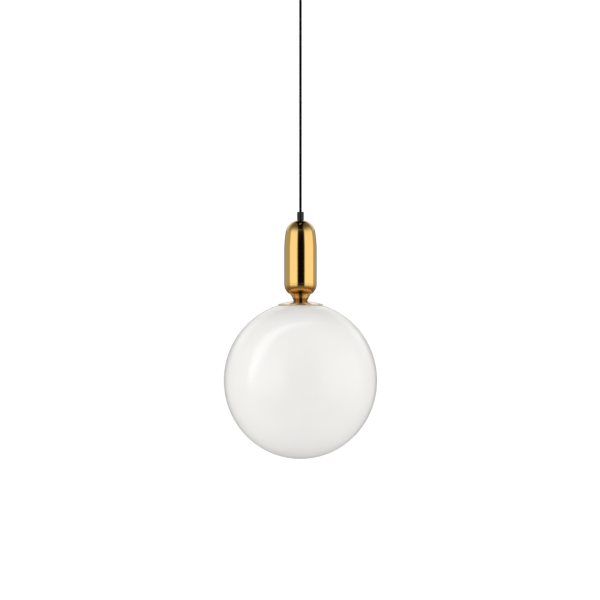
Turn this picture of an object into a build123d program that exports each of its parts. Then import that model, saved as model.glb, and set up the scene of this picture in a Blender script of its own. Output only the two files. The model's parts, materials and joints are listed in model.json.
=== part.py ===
from build123d import *
import math
import os

# Pendant ceiling light: an opal glass globe under a polished brass capsule, on a round black cord.
# Millimetres, +Z up. The origin is on the ceiling, in the middle of the bracket, over the cord.

os.makedirs("parts", exist_ok=True)

# ------------------------------------------------------------------ driving dimensions
# Clearances
thread_gap = 0.05  # screw or tube in its tapped hole
running_gap = 0.05  # rubber bush turning in the ceiling grip
seat_gap = 0.1  # nested pieces that stay together
part_gap = 0.3  # pieces that move apart
seam_gap = 0.15  # hairline seam round the capsule

# Cord
cord_radius = 2.5
cord_drop = 430.0  # from the ceiling grip's mouth to the lamp grip's mouth
swing_limit = 20.0  # degrees either way at the ceiling
tilt_limit = 15.0  # degrees either way at the lamp
flare_spare = 3.0  # degrees that a grip's mouth opens past its limit
swing_depth = 4.0  # the upper bend lies this far inside its mouth
tilt_depth = 3.5  # the lower bend lies this far inside its mouth
core_radius = 0.95  # one insulated conductor
core_offset = 1.15  # conductor centres from the cord's axis

# Cord grips
grip_wall = 1.2  # round the bush
grip_length = 16.3
grip_edge = 1.1
grip_screw_radius = 1.5
bush_wall = 0.6  # at its mouth
bush_lip = 0.3  # step that keeps the bush in the grip
bush_length = 12.0
bush_lip_height = 4.0

# Canopy and bracket
ceiling_gap = 0.5  # canopy rim under the ceiling
canopy_radius = 50.0
canopy_height = 28.0
canopy_wall = 1.2
canopy_edge = 12.0
bracket_width = 25.0
bracket_thickness = 2.0
tab_length = 13.0
tab_bend = 1.5
slot_spacing = 60.0
slot_length = 14.0
slot_width = 4.5
side_screw_radius = 2.0
side_screw_drop = 8.0  # axis under the ceiling
side_screw_reach = 3.0  # past the tab
side_head_radius = 4.0
side_head_height = 3.0
side_head_edge = 1.0

# Terminal group in the canopy
plate_thickness = 1.2
plate_width = 24.0
plate_back = 12.0  # from the axis, away from the block
plate_margin = 1.5  # past the block
block_width = 22.0
block_depth = 17.0
block_height = 14.0
block_setback = 15.5  # axis to the block's near face
block_edge = 0.8
pole_spacing = 11.0
clamp_radius = 2.0
clamp_bore = 1.3
clamp_inset = 1.5
terminal_screw_radius = 1.5
terminal_screw_spacing = 8.0  # along a pole
terminal_screw_sink = 0.8
fixing_screw_radius = 1.45
fixing_head_radius = 2.6
fixing_head_height = 1.6
lead_insertion = 3.0
lead_rise = 6.5
lead_slack = 4.5  # level run before the block
lead_bend = 2.8

# Threaded tube and its nuts
tube_radius = 5.0
tube_room = 0.9  # round the cord inside the tube
tube_chamfer = 0.5
nut_wall = 2.0  # at the middle of a flat
nut_height = 3.0
stem_past_nut = 2.0
tail_past_stem = 2.0

# Capsule
capsule_radius = 31.85
capsule_wall = 1.2
flank_taper = 2.45  # how much narrower the dome is than the body
flank_radius = 239.4  # long arc between the straight side and the dome
flat_margin = 0.35  # land under the cord grip, past the grip
straight_height = 64.0
shoulder_radius = 25.0
shoulder_angle = 51.5
spigot_height = 6.0
spigot_root = 3.0
grip_thread_depth = 6.0

# Foot
foot_height = 14.0
foot_step = 1.8  # crease between the capsule's base and the foot
foot_base_radius = 13.4
foot_waist = 0.9  # how far its flank is hollowed
foot_edge = 0.8

# Globe
globe_radius = 150.1
globe_half_height = 153.5
glass_thickness = 2.4
neck_depth = 12.0
neck_lip = 1.6  # fire-polished rim
neck_root = 2.5
neck_end = 0.9

# Cap and gallery on the globe
cap_overhang = 6.5  # past the glass mouth
cap_thickness = 1.0
cap_edge = 0.35
gasket_thickness = 0.7
gasket_width = 4.4
gasket_inset = 1.0  # from the cap's rim
gallery_thickness = 1.5
gallery_radius = 34.6
gallery_depth = 21.5  # under the crown
gallery_thread_pitch = 3.0
gallery_thread_depth = 0.6
gallery_thread_turns = 4
gallery_thread_start = 0.7  # pitches above the rim
collar_thickness = 2.5
collar_top_gap = 2.0
washer_width = 4.0
washer_thickness = 1.0

# Lampholder for an E27 bulb
holder_drop = 12.0  # crown to the top of its boss
holder_boss_wall = 3.0  # round the tube
holder_boss_edge = 1.0
holder_boss_height = 10.0
holder_thread_depth = 9.0
holder_radius = 20.3
holder_cap_height = 26.0
holder_shoulder = 12.0  # height of the cap's slope
holder_skirt_length = 32.0
holder_wall = 2.0
holder_lip_gap = 0.5  # round the screw shell
holder_lip_height = 2.0
holder_rib_radius = 0.7
holder_rib_margin = 4.0  # plain band at each end of the skirt
holder_rib_count = 24
insert_height = 7.0
insert_drop = 26.0
shell_clearance = 0.8  # round the bulb's thread
shell_wall = 0.5
shell_length = 23.0
contact_radius = 4.0
contact_thickness = 0.5
contact_reach = 2.5
contact_width = 6.0
rivet_radius = 1.4
side_contact_width = 6.0
side_contact_shift = 1.0  # towards the shell
holder_screw_inset = 4.9  # inside the screw shell
holder_screw_radius = 1.5
holder_screw_head = 2.8
holder_screw_head_height = 2.0

# LED bulb
bulb_thread_radius = 13.1
bulb_thread_depth = 0.8
bulb_thread_pitch = 3.6
bulb_thread_turns = 5
bulb_cap_wall = 0.4
bulb_tip_radius = 4.6
bulb_tip_height = 1.2
bulb_insulator_height = 3.6
bulb_base_length = 21.0
bulb_neck_step = 0.7  # past the cap's thread
bulb_body_length = 33.0
bulb_body_radius = 26.5
bulb_body_swell = 0.42  # share of its flare reached half way down
bulb_wall = 1.4
envelope_radius = 30.0
envelope_wall = 1.2
envelope_length = 48.0
envelope_swell = 0.7  # how far its shoulder stays inside its widest ring
board_thickness = 1.5
chip_side = 2.8
chip_height = 0.8
chip_circle = 15.0
chip_count = 12
driver_width = 18.0
driver_thickness = 1.6
driver_length = 26.0
coil_radius = 4.5
coil_height = 5.5


# ------------------------------------------------------------------ heights down the lamp
def glass_height(radius, outside):
    """Height of the surface that lies a given distance outside the glass, at a radius."""
    across = globe_radius + outside
    up = globe_half_height + outside
    return globe_centre + up * math.sqrt(1 - (radius / across) ** 2)


socket_radius = cord_radius + part_gap  # round the cord's bends
bush_mouth = socket_radius + swing_depth * math.tan(math.radians(swing_limit + flare_spare))
bush_radius = bush_mouth + bush_wall + bush_lip
grip_radius = bush_radius + running_gap + grip_wall
flat_radius = grip_radius + flat_margin
tube_bore = cord_radius + tube_room
mouth_radius = gallery_radius + part_gap + collar_thickness + seat_gap
cap_radius = mouth_radius + cap_overhang
nut_flats = 2 * (tube_radius + nut_wall)
washer_radius = tube_radius + washer_width
holder_boss_radius = tube_radius + holder_boss_wall
shell_radius = bulb_thread_radius + shell_clearance + shell_wall
bulb_neck_radius = bulb_thread_radius + bulb_neck_step
holder_lip_radius = shell_radius + holder_lip_gap
holder_screw_offset = shell_radius - holder_screw_inset

canopy_top = -ceiling_gap
canopy_bottom = canopy_top - canopy_height
canopy_floor = canopy_bottom + canopy_wall
ceiling_mouth = canopy_bottom - grip_length
ceiling_bend = ceiling_mouth + swing_depth
lamp_mouth = ceiling_mouth - cord_drop
lamp_bend = lamp_mouth - tilt_depth
capsule_top = lamp_mouth - grip_length

dome_radius = capsule_radius - flank_taper
dome_centre = capsule_top - math.sqrt(dome_radius**2 - flat_radius**2)
flank = math.acos((flank_radius - capsule_radius) / (flank_radius - dome_radius))
flank_angle = math.degrees(flank)
flank_foot = dome_centre - (flank_radius - dome_radius) * math.sin(flank)
seam_height = flank_foot - straight_height
shoulder = math.radians(shoulder_angle)
capsule_bottom = seam_height - shoulder_radius * math.sin(shoulder)
capsule_inside = capsule_radius - capsule_wall
capsule_foot = capsule_radius - shoulder_radius * (1 - math.cos(shoulder))  # radius at the crease
foot_top_radius = capsule_foot - foot_step

crown = capsule_bottom - foot_height
cap_inside = part_gap + gasket_thickness + seat_gap  # cap's underside above the glass
cap_outside = cap_inside + cap_thickness
globe_centre = crown - cap_outside - globe_half_height
gallery_outside = cap_inside - seat_gap
gallery_inside = gallery_outside - gallery_thickness
gallery_bottom = crown - gallery_depth
neck_bottom = glass_height(mouth_radius, 0) - neck_depth

plate_top = canopy_floor + plate_thickness
stem_top = plate_top + nut_height + stem_past_nut
ceiling_tail_top = stem_top + tail_past_stem

holder_top = crown - holder_drop
tube_top = capsule_top + grip_thread_depth - seat_gap
tube_bottom = holder_top - holder_thread_depth + seat_gap
lamp_tail_bottom = tube_bottom - tail_past_stem
skirt_top = holder_top - holder_cap_height
skirt_bottom = skirt_top - holder_skirt_length
insert_top = holder_top - insert_drop
insert_bottom = insert_top - insert_height
bulb_top = insert_bottom - contact_reach - part_gap
bulb_shell_top = bulb_top - bulb_tip_height - bulb_insulator_height
bulb_shell_bottom = bulb_shell_top - bulb_base_length
bulb_body_bottom = bulb_shell_bottom - bulb_body_length
bulb_bottom = bulb_body_bottom - envelope_length


# ------------------------------------------------------------------ shared outlines
def turn(points, mode=Mode.ADD):
    """Turn a closed outline of (radius, height) corners about the lamp's axis."""
    with BuildSketch(Plane.XZ) as outline:
        with BuildLine():
            Polyline(*points, close=True)
        make_face()
    revolve(outline.sketch, axis=Axis.Z, mode=mode)


def ring(inner, outer, low, high, mode=Mode.ADD):
    """A plain ring, or a disc where the inner radius is nought."""
    turn([(inner, low), (outer, low), (outer, high), (inner, high)], mode)


def turned_groove(radius, depth, height, width):
    """Cut a V groove round the outside of a turned piece."""
    outer = radius + depth
    turn([(outer, height - width), (radius - depth, height), (outer, height + width)], Mode.SUBTRACT)


def dished_ring(inner_radius, outer_radius, inside, outside):
    """A ring that follows the globe, between two distances from the glass."""
    middle = (inner_radius + outer_radius) / 2
    with BuildSketch(Plane.XZ) as section:
        with Locations((0, globe_centre)):
            Ellipse(globe_radius + outside, globe_half_height + outside)
            Ellipse(globe_radius + inside, globe_half_height + inside, mode=Mode.SUBTRACT)
        with Locations((middle, globe_centre + globe_half_height)):
            Rectangle(outer_radius - inner_radius, globe_half_height, mode=Mode.INTERSECT)
    revolve(section.sketch, axis=Axis.Z)


def capsule_section(inset, bottom):
    """Half section of the capsule's upper body, inset from its outside, down to a height."""
    side = capsule_radius - inset
    flank_centre = (capsule_radius - flank_radius, flank_foot)
    with BuildSketch(Plane.XZ) as section:
        with BuildLine():
            upright = Line((side, bottom), (side, flank_foot))
            long_arc = CenterArc(flank_centre, flank_radius - inset, 0, flank_angle)
            dome = CenterArc((0, dome_centre), dome_radius - inset, flank_angle, 90 - flank_angle)
            Line(dome @ 1, (0, bottom))
            Line((0, bottom), upright @ 0)
        make_face()
    return section.sketch


def shoulder_section(inset):
    """Half section of the capsule's rounded base, inset from its outside."""
    centre = (capsule_radius - shoulder_radius, seam_height)
    with BuildSketch(Plane.XZ) as section:
        with BuildLine():
            bend = CenterArc(centre, shoulder_radius - inset, 0, -shoulder_angle)
            Line(bend @ 0, (0, seam_height))
            Line((0, seam_height), (0, (bend @ 1).Y))
            Line((0, (bend @ 1).Y), bend @ 1)
        make_face()
    return section.sketch


def flared_bore(bend_height, mouth_height, limit):
    """Cut the socket and the flared mouth that let the cord bend by its limit."""
    depth = abs(mouth_height - bend_height)
    mouth = socket_radius + depth * math.tan(math.radians(limit + flare_spare))
    corners = [(0, bend_height), (socket_radius, bend_height), (mouth, mouth_height), (0, mouth_height)]
    turn(corners, Mode.SUBTRACT)


def hexagon_nut(bottom):
    """A thin hexagon nut on the tube's thread."""
    with BuildSketch(Plane.XY.offset(bottom)) as hexagon:
        RegularPolygon(nut_flats / 2, 6, major_radius=False)
        Circle(tube_radius + thread_gap, mode=Mode.SUBTRACT)
    extrude(hexagon.sketch, amount=nut_height)


def pin(centre, direction, radius, length, mode=Mode.ADD):
    """A round pin from a point, along a direction."""
    with BuildSketch(Plane(origin=centre, z_dir=direction)) as circle:
        Circle(radius)
    extrude(circle.sketch, amount=length, mode=mode)


def lead(points, radii):
    """An insulated conductor along a route of straight runs and arcs."""
    with BuildLine() as route:
        FilletPolyline(*points, radius=radii)
    with BuildSketch(Plane(origin=route.line @ 0, z_dir=route.line % 0)) as core:
        Circle(core_radius)
    sweep(core.sketch, path=route.line)


# ------------------------------------------------------------------ ceiling bracket
tab_face = math.sqrt((canopy_radius - canopy_wall) ** 2 - (bracket_width / 2) ** 2) - part_gap
tab_inner = tab_face - bracket_thickness

with BuildPart() as ceiling_bracket:
    with BuildSketch(Plane.XZ) as strap:
        with BuildLine():
            Polyline(
                (-tab_face, -bracket_thickness - tab_length),
                (-tab_face, 0),
                (tab_face, 0),
                (tab_face, -bracket_thickness - tab_length),
                (tab_inner, -bracket_thickness - tab_length),
                (tab_inner, -bracket_thickness),
                (-tab_inner, -bracket_thickness),
                (-tab_inner, -bracket_thickness - tab_length),
                close=True,
            )
        make_face()
        fillet(strap.vertices().group_by(Axis.Y)[-1], tab_bend)
    extrude(amount=bracket_width / 2, both=True)
    with BuildSketch(Plane.XY):
        with Locations((-slot_spacing / 2, 0), (slot_spacing / 2, 0)):
            SlotOverall(slot_length, slot_width)
    extrude(amount=-bracket_thickness, mode=Mode.SUBTRACT)
    with BuildSketch(Plane.YZ):
        with Locations((0, -side_screw_drop)):
            Circle(side_screw_radius + thread_gap)
    extrude(amount=canopy_radius, both=True, mode=Mode.SUBTRACT)

# Two screws that clamp the canopy's slots against the tabs
head_face = canopy_radius + part_gap
with BuildPart() as bracket_side_screws:
    for side in (-1, 1):
        tip = (side * (tab_inner - side_screw_reach), 0, -side_screw_drop)
        shank_length = head_face + side_head_height / 2 - (tab_inner - side_screw_reach)
        pin(tip, (side, 0, 0), side_screw_radius, shank_length)
        head = (side * head_face, 0, -side_screw_drop)
        pin(head, (side, 0, 0), side_head_radius, side_head_height)
    outer_rims = bracket_side_screws.edges().filter_by(GeomType.CIRCLE).group_by(Axis.X)
    fillet(outer_rims[0] + outer_rims[-1], side_head_edge)

# ------------------------------------------------------------------ canopy
with BuildPart() as canopy_cup:
    ring(0, canopy_radius, canopy_bottom, canopy_top)
    fillet(canopy_cup.faces().sort_by(Axis.Z)[0].edges(), canopy_edge)
    offset(amount=-canopy_wall, openings=canopy_cup.faces().sort_by(Axis.Z)[-1])
    ring(0, tube_radius + seat_gap, canopy_bottom, canopy_floor, Mode.SUBTRACT)
    with BuildSketch(Plane.YZ):
        with Locations((0, -side_screw_drop)):
            Circle(side_screw_radius + part_gap)
        with Locations((0, -side_screw_drop / 2)):
            Rectangle(2 * (side_screw_radius + part_gap), side_screw_drop)
    extrude(amount=canopy_radius, both=True, mode=Mode.SUBTRACT)

# ------------------------------------------------------------------ ceiling cord grip
bush_top = ceiling_mouth + bush_length
bush_step = ceiling_mouth + bush_lip_height
bush_socket = bush_radius + running_gap
with BuildPart() as canopy_cord_grip:
    ring(0, grip_radius, ceiling_mouth, canopy_bottom)
    fillet(canopy_cord_grip.faces().sort_by(Axis.Z)[0].edges(), grip_edge)
    ring(0, tube_radius, canopy_bottom, stem_top)
    ring(0, cord_radius + running_gap, ceiling_mouth, stem_top, Mode.SUBTRACT)
    ring(0, bush_socket, bush_step, bush_top + seat_gap, Mode.SUBTRACT)
    ring(0, bush_socket - bush_lip, ceiling_mouth, bush_step, Mode.SUBTRACT)
    ceiling_screw_height = (bush_top + canopy_bottom) / 2
    pin((0, 0, ceiling_screw_height), (0, 1, 0), grip_screw_radius + thread_gap, grip_radius, Mode.SUBTRACT)

with BuildPart() as canopy_grip_screw:
    screw_tip = (0, cord_radius + seat_gap, ceiling_screw_height)
    pin(screw_tip, (0, 1, 0), grip_screw_radius, grip_radius - cord_radius - 2 * seat_gap)

with BuildPart() as canopy_grip_nut:
    hexagon_nut(plate_top)

# Rubber bush: it turns in the grip, and the cord bends in its mouth
with BuildPart() as cord_bush:
    ring(0, bush_radius, bush_step + seat_gap, bush_top)
    ring(0, bush_radius - bush_lip, ceiling_mouth, bush_step + seat_gap)
    ring(0, socket_radius, ceiling_bend, bush_top, Mode.SUBTRACT)
    flared_bore(ceiling_bend, ceiling_mouth, swing_limit)

# The stretch of cord that the canopy and its grip hold still
with BuildPart() as ceiling_cord_tail:
    ring(0, cord_radius, ceiling_bend + cord_radius + part_gap, ceiling_tail_top)

# ------------------------------------------------------------------ terminal group
block_middle = block_setback + block_depth / 2
block_top = plate_top + block_height
pole_height = plate_top + block_height / 2
pole_places = [-pole_spacing / 2, pole_spacing / 2]
screw_places = [block_middle - terminal_screw_spacing / 2, block_middle + terminal_screw_spacing / 2]
screw_spots = [(x, y) for x in pole_places for y in screw_places]

with BuildPart() as terminal_plate:
    plate_end = block_setback + block_depth + plate_margin
    with BuildSketch(Plane.XY.offset(canopy_floor)):
        with Locations((0, (plate_end - plate_back) / 2)):
            RectangleRounded(plate_width, plate_end + plate_back, plate_margin)
        Circle(tube_radius + seat_gap, mode=Mode.SUBTRACT)
        with Locations((0, block_middle)):
            Circle(fixing_screw_radius + thread_gap, mode=Mode.SUBTRACT)
    extrude(amount=plate_thickness)

with BuildPart() as terminal_block:
    with BuildSketch(Plane.XY.offset(plate_top)):
        with Locations((0, block_middle)):
            Rectangle(block_width, block_depth)
    extrude(amount=block_height)
    fillet(terminal_block.edges().filter_by(Axis.Z), block_edge)
    chamfer(terminal_block.faces().sort_by(Axis.Z)[-1].edges(), block_edge / 2)
    for x in pole_places:
        near = (x, block_setback, pole_height)
        pin(near, (0, 1, 0), clamp_radius + seat_gap, block_depth, Mode.SUBTRACT)
    for x, y in screw_spots:
        pin((x, y, pole_height), (0, 0, 1), terminal_screw_radius + seat_gap, block_height, Mode.SUBTRACT)
    pin((0, block_middle, plate_top), (0, 0, 1), fixing_screw_radius + seat_gap, block_height, Mode.SUBTRACT)

with BuildPart() as terminal_clamps:
    clamp_length = block_depth - 2 * clamp_inset
    for x in pole_places:
        near = (x, block_setback + clamp_inset, pole_height)
        pin(near, (0, 1, 0), clamp_radius, clamp_length)
        pin(near, (0, 1, 0), clamp_bore, clamp_length, Mode.SUBTRACT)
    for x, y in screw_spots:
        pin((x, y, pole_height), (0, 0, 1), terminal_screw_radius + thread_gap, clamp_radius, Mode.SUBTRACT)

with BuildPart() as terminal_screws:
    tip_height = pole_height + core_radius + seat_gap
    screw_length = block_top - terminal_screw_sink - tip_height
    for x, y in screw_spots:
        pin((x, y, tip_height), (0, 0, 1), terminal_screw_radius, screw_length)
        with BuildSketch(Plane.XY.offset(tip_height + screw_length)) as driver_slot:
            with Locations((x, y)):
                Rectangle(2 * terminal_screw_radius, terminal_screw_radius / 3)
        extrude(driver_slot.sketch, amount=-terminal_screw_radius / 2, mode=Mode.SUBTRACT)

with BuildPart() as block_fixing_screw:
    pin((0, block_middle, canopy_floor), (0, 0, 1), fixing_screw_radius, block_top - canopy_floor)
    pin((0, block_middle, block_top), (0, 0, 1), fixing_head_radius, fixing_head_height)
    fillet(block_fixing_screw.faces().sort_by(Axis.Z)[-1].edges(), fixing_head_height / 2)

# ------------------------------------------------------------------ leads in the canopy
pieces = {}
for name, side in (("live", -1), ("neutral", 1)):
    with BuildPart() as ceiling_lead:
        start = side * core_offset
        pole = side * pole_spacing / 2
        arch = ceiling_tail_top + lead_rise
        lead(
            [
                (start, 0, ceiling_tail_top),
                (start, 0, arch),
                (pole, block_setback - lead_slack, pole_height),
                (pole, block_setback + clamp_inset + lead_insertion, pole_height),
            ],
            [lead_bend, lead_bend],
        )
    pieces[f"ceiling_lead_{name}"] = ceiling_lead

# ------------------------------------------------------------------ power cord
with BuildPart() as power_cord:
    ring(0, cord_radius, lamp_bend, ceiling_bend)
    with Locations((0, 0, ceiling_bend), (0, 0, lamp_bend)):
        Sphere(cord_radius)

# ------------------------------------------------------------------ lamp cord grip
with BuildPart() as lamp_cord_grip:
    ring(0, grip_radius, capsule_top, lamp_mouth)
    fillet(lamp_cord_grip.faces().sort_by(Axis.Z)[-1].edges(), grip_edge)
    thread_top = capsule_top + grip_thread_depth
    ring(0, tube_radius + thread_gap, capsule_top, thread_top, Mode.SUBTRACT)
    ring(0, cord_radius + running_gap, thread_top, lamp_bend, Mode.SUBTRACT)
    with Locations((0, 0, lamp_bend)):
        Sphere(socket_radius, mode=Mode.SUBTRACT)
    flared_bore(lamp_bend, lamp_mouth, tilt_limit)
    lamp_tail_top = lamp_bend - cord_radius - part_gap
    lamp_screw_height = (thread_top + lamp_tail_top) / 2
    pin((0, 0, lamp_screw_height), (0, 1, 0), grip_screw_radius + thread_gap, grip_radius, Mode.SUBTRACT)

with BuildPart() as lamp_grip_screw:
    screw_tip = (0, cord_radius + seat_gap, lamp_screw_height)
    pin(screw_tip, (0, 1, 0), grip_screw_radius, grip_radius - cord_radius - 2 * seat_gap)

with BuildPart() as lamp_cord_tail:
    ring(0, cord_radius, lamp_tail_bottom, lamp_tail_top)

# ------------------------------------------------------------------ capsule
with BuildPart() as capsule_shell:
    revolve(capsule_section(0, seam_height + seam_gap), axis=Axis.Z)
    revolve(capsule_section(capsule_wall, seam_height), axis=Axis.Z, mode=Mode.SUBTRACT)
    ring(0, tube_radius + seat_gap, dome_centre, capsule_top + dome_radius, Mode.SUBTRACT)
    ring(0, flat_radius, capsule_top, capsule_top + dome_radius, Mode.SUBTRACT)

with BuildPart() as capsule_base:
    spigot = capsule_inside - seat_gap
    revolve(shoulder_section(0), axis=Axis.Z)
    ring(0, spigot, seam_height, seam_height + spigot_height)
    revolve(shoulder_section(2 * capsule_wall), axis=Axis.Z, mode=Mode.SUBTRACT)
    ring(0, spigot - capsule_wall, seam_height - spigot_root, seam_height + spigot_height, Mode.SUBTRACT)
    ring(0, tube_radius + seat_gap, capsule_bottom, seam_height, Mode.SUBTRACT)

with BuildPart() as threaded_tube:
    ring(tube_bore, tube_radius, tube_bottom, tube_top)
    chamfer(threaded_tube.edges().filter_by(GeomType.CIRCLE).group_by(SortBy.RADIUS)[-1], tube_chamfer)

# ------------------------------------------------------------------ foot
with BuildPart() as foot_cone:
    with BuildSketch(Plane.XZ) as flank_outline:
        with BuildLine():
            top = (foot_top_radius, capsule_bottom)
            base = (foot_base_radius, crown - foot_edge)
            waist = ((top[0] + base[0]) / 2 - foot_waist, (top[1] + base[1]) / 2)
            ThreePointArc(top, waist, base)
            Polyline(base, (0, base[1]), (0, capsule_bottom), top)
        make_face()
    revolve(axis=Axis.Z)
    with BuildSketch(Plane.XZ) as dish:
        with Locations((0, globe_centre)):
            Ellipse(globe_radius + cap_outside, globe_half_height + cap_outside)
        with Locations((globe_radius, globe_centre)):
            Rectangle(2 * globe_radius, 3 * globe_half_height, mode=Mode.INTERSECT)
    revolve(axis=Axis.Z, mode=Mode.SUBTRACT)
    ring(0, tube_radius + seat_gap, crown - foot_height, capsule_bottom, Mode.SUBTRACT)

# ------------------------------------------------------------------ cap, gasket and gallery
with BuildPart() as globe_cap:
    dished_ring(tube_radius + seat_gap, cap_radius, cap_inside, cap_outside)
    rim = globe_cap.edges().filter_by(GeomType.CIRCLE).group_by(SortBy.RADIUS)[-1]
    fillet(rim, cap_edge)

with BuildPart() as cap_gasket:
    gasket_outer = cap_radius - gasket_inset
    dished_ring(gasket_outer - gasket_width, gasket_outer, part_gap, part_gap + gasket_thickness)

with BuildPart() as globe_gallery:
    dished_ring(tube_radius + seat_gap, gallery_radius, gallery_inside, gallery_outside)
    skirt_reach = glass_height(gallery_radius, (gallery_inside + gallery_outside) / 2)
    ring(gallery_radius - gallery_thickness, gallery_radius, gallery_bottom, skirt_reach)
    for turn_number in range(gallery_thread_turns):
        groove = gallery_bottom + gallery_thread_pitch * (turn_number + gallery_thread_start)
        turned_groove(gallery_radius, gallery_thread_depth, groove, gallery_thread_pitch / 2)

washer_top = glass_height(washer_radius, gallery_inside) - seat_gap
nut_bottom = washer_top - washer_thickness - nut_height
with BuildPart() as gallery_washer:
    ring(tube_radius + seat_gap, washer_radius, washer_top - washer_thickness, washer_top)

with BuildPart() as gallery_lock_nut:
    hexagon_nut(nut_bottom)

# ------------------------------------------------------------------ glass globe and its collar
with BuildPart() as glass_globe:
    with BuildSketch(Plane.XZ) as wall:
        with Locations((0, globe_centre)):
            Ellipse(globe_radius, globe_half_height)
            inner = (globe_radius - glass_thickness, globe_half_height - glass_thickness)
            Ellipse(*inner, mode=Mode.SUBTRACT)
        with Locations((globe_radius, globe_centre)):
            Rectangle(2 * globe_radius, 3 * globe_half_height, mode=Mode.INTERSECT)
        with Locations((0, globe_centre + globe_half_height)):
            Rectangle(2 * mouth_radius, globe_half_height, mode=Mode.SUBTRACT)
        neck_top = glass_height(mouth_radius + glass_thickness, -glass_thickness / 2)
        with Locations((mouth_radius + glass_thickness / 2, (neck_bottom + neck_top) / 2)):
            Rectangle(glass_thickness, neck_top - neck_bottom)
        corners = wall.vertices().filter_by(lambda v: v.Y > neck_bottom - 1 and v.X < 2 * mouth_radius)
        fillet(corners.sort_by(Axis.Y)[-1], neck_lip)
        ends = wall.vertices().filter_by(lambda v: abs(v.Y - neck_bottom) < neck_end)
        fillet(ends, neck_end)
        neck_outer = mouth_radius + glass_thickness
        root = (neck_outer, glass_height(neck_outer, -glass_thickness))
        fillet(wall.vertices().sort_by_distance(root)[0], neck_root)
    revolve(wall.sketch, axis=Axis.Z)

with BuildPart() as globe_collar:
    collar_top = glass_height(gallery_radius, 0) - collar_top_gap
    collar_inner = gallery_radius + part_gap
    ring(collar_inner, mouth_radius - seat_gap, neck_bottom, collar_top)

# ------------------------------------------------------------------ lampholder
with BuildPart() as holder_cap:
    slope_top = holder_top - holder_boss_height
    slope_bottom = slope_top - holder_shoulder
    inside = holder_radius - holder_wall
    turn(
        [
            (tube_radius + thread_gap, holder_top),
            (holder_boss_radius, holder_top),
            (holder_boss_radius, slope_top),
            (holder_radius, slope_bottom),
            (holder_radius, skirt_top),
            (inside, skirt_top),
            (inside, slope_bottom),
            (holder_boss_radius, slope_top - holder_wall),
            (tube_radius + thread_gap, slope_top - holder_wall),
        ]
    )
    top_rims = holder_cap.edges().filter_by(GeomType.CIRCLE).group_by(Axis.Z)[-1]
    fillet(top_rims.sort_by(SortBy.RADIUS)[-1], holder_boss_edge)

with BuildPart() as holder_skirt:
    inside = holder_radius - holder_wall
    ring(inside, holder_radius, skirt_bottom, skirt_top - seat_gap)
    ring(holder_lip_radius, inside, skirt_bottom, skirt_bottom + holder_lip_height)
    rib_height = holder_skirt_length - 2 * holder_rib_margin
    with BuildSketch(Plane.XY.offset(skirt_bottom + holder_rib_margin)):
        with PolarLocations(holder_radius, holder_rib_count):
            Circle(holder_rib_radius)
    extrude(amount=rib_height)

insert_outer = holder_radius - holder_wall - seat_gap
with BuildPart() as holder_insert:
    ring(0, insert_outer, insert_bottom, insert_top)
    pin((0, 0, insert_bottom), (0, 0, 1), rivet_radius + seat_gap, insert_height, Mode.SUBTRACT)
    for side in (-1, 1):
        spot = (side * holder_screw_offset, 0, insert_bottom)
        pin(spot, (0, 0, 1), holder_screw_radius + thread_gap, insert_height, Mode.SUBTRACT)

with BuildPart() as holder_screw_shell:
    ring(shell_radius - shell_wall, shell_radius, insert_bottom - shell_length, insert_bottom)

with BuildPart() as holder_centre_contact:
    contact_bottom = insert_bottom - contact_reach
    pin((0, 0, insert_bottom - contact_thickness), (0, 0, 1), rivet_radius, insert_height)
    ring(0, contact_radius, insert_bottom - contact_thickness, insert_bottom)
    ring(0, contact_radius / 2, contact_bottom, insert_bottom - contact_thickness)

with BuildPart() as holder_side_contact:
    contact_outer = shell_radius - shell_wall - seat_gap
    with BuildSketch(Plane.XY.offset(insert_bottom)):
        with Locations((holder_screw_offset + side_contact_shift, 0)):
            Rectangle(contact_width, side_contact_width)
        Circle(contact_outer, mode=Mode.INTERSECT)
        with Locations((holder_screw_offset, 0)):
            Circle(holder_screw_radius + thread_gap, mode=Mode.SUBTRACT)
    extrude(amount=-contact_thickness)

wire_space = 2 * (core_radius + seat_gap)  # under each terminal screw's head
with BuildPart() as holder_terminal_screws:
    for side in (-1, 1):
        foot = (side * holder_screw_offset, 0, insert_bottom - contact_thickness)
        pin(foot, (0, 0, 1), holder_screw_radius, insert_height + contact_thickness)
        head = (side * holder_screw_offset, 0, insert_top + wire_space)
        pin((foot[0], 0, insert_top), (0, 0, 1), holder_screw_radius, wire_space)
        pin(head, (0, 0, 1), holder_screw_head, holder_screw_head_height)

for name, side in (("live", -1), ("neutral", 1)):
    with BuildPart() as holder_lead:
        start = side * core_offset
        beside = holder_screw_radius + core_radius + seat_gap
        level = insert_top + core_radius + seat_gap
        lead(
            [
                (start, 0, lamp_tail_bottom),
                (start, 0, lamp_tail_bottom - lead_slack / 2),
                (start, beside, level),
                (side * (holder_screw_offset + holder_screw_radius), beside, level),
            ],
            [lead_bend / 2, lead_bend],
        )
    pieces[f"holder_lead_{name}"] = holder_lead

# ------------------------------------------------------------------ LED bulb
with BuildPart() as bulb_contact:
    ring(0, bulb_tip_radius, bulb_top - bulb_tip_height, bulb_top)
    fillet(bulb_contact.faces().sort_by(Axis.Z)[-1].edges(), bulb_tip_height / 2)

with BuildPart() as bulb_insulator:
    insulator_top = bulb_top - bulb_tip_height
    turn(
        [
            (0, insulator_top),
            (bulb_tip_radius, insulator_top),
            (bulb_thread_radius - bulb_thread_depth, bulb_shell_top),
            (0, bulb_shell_top),
        ]
    )

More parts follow.
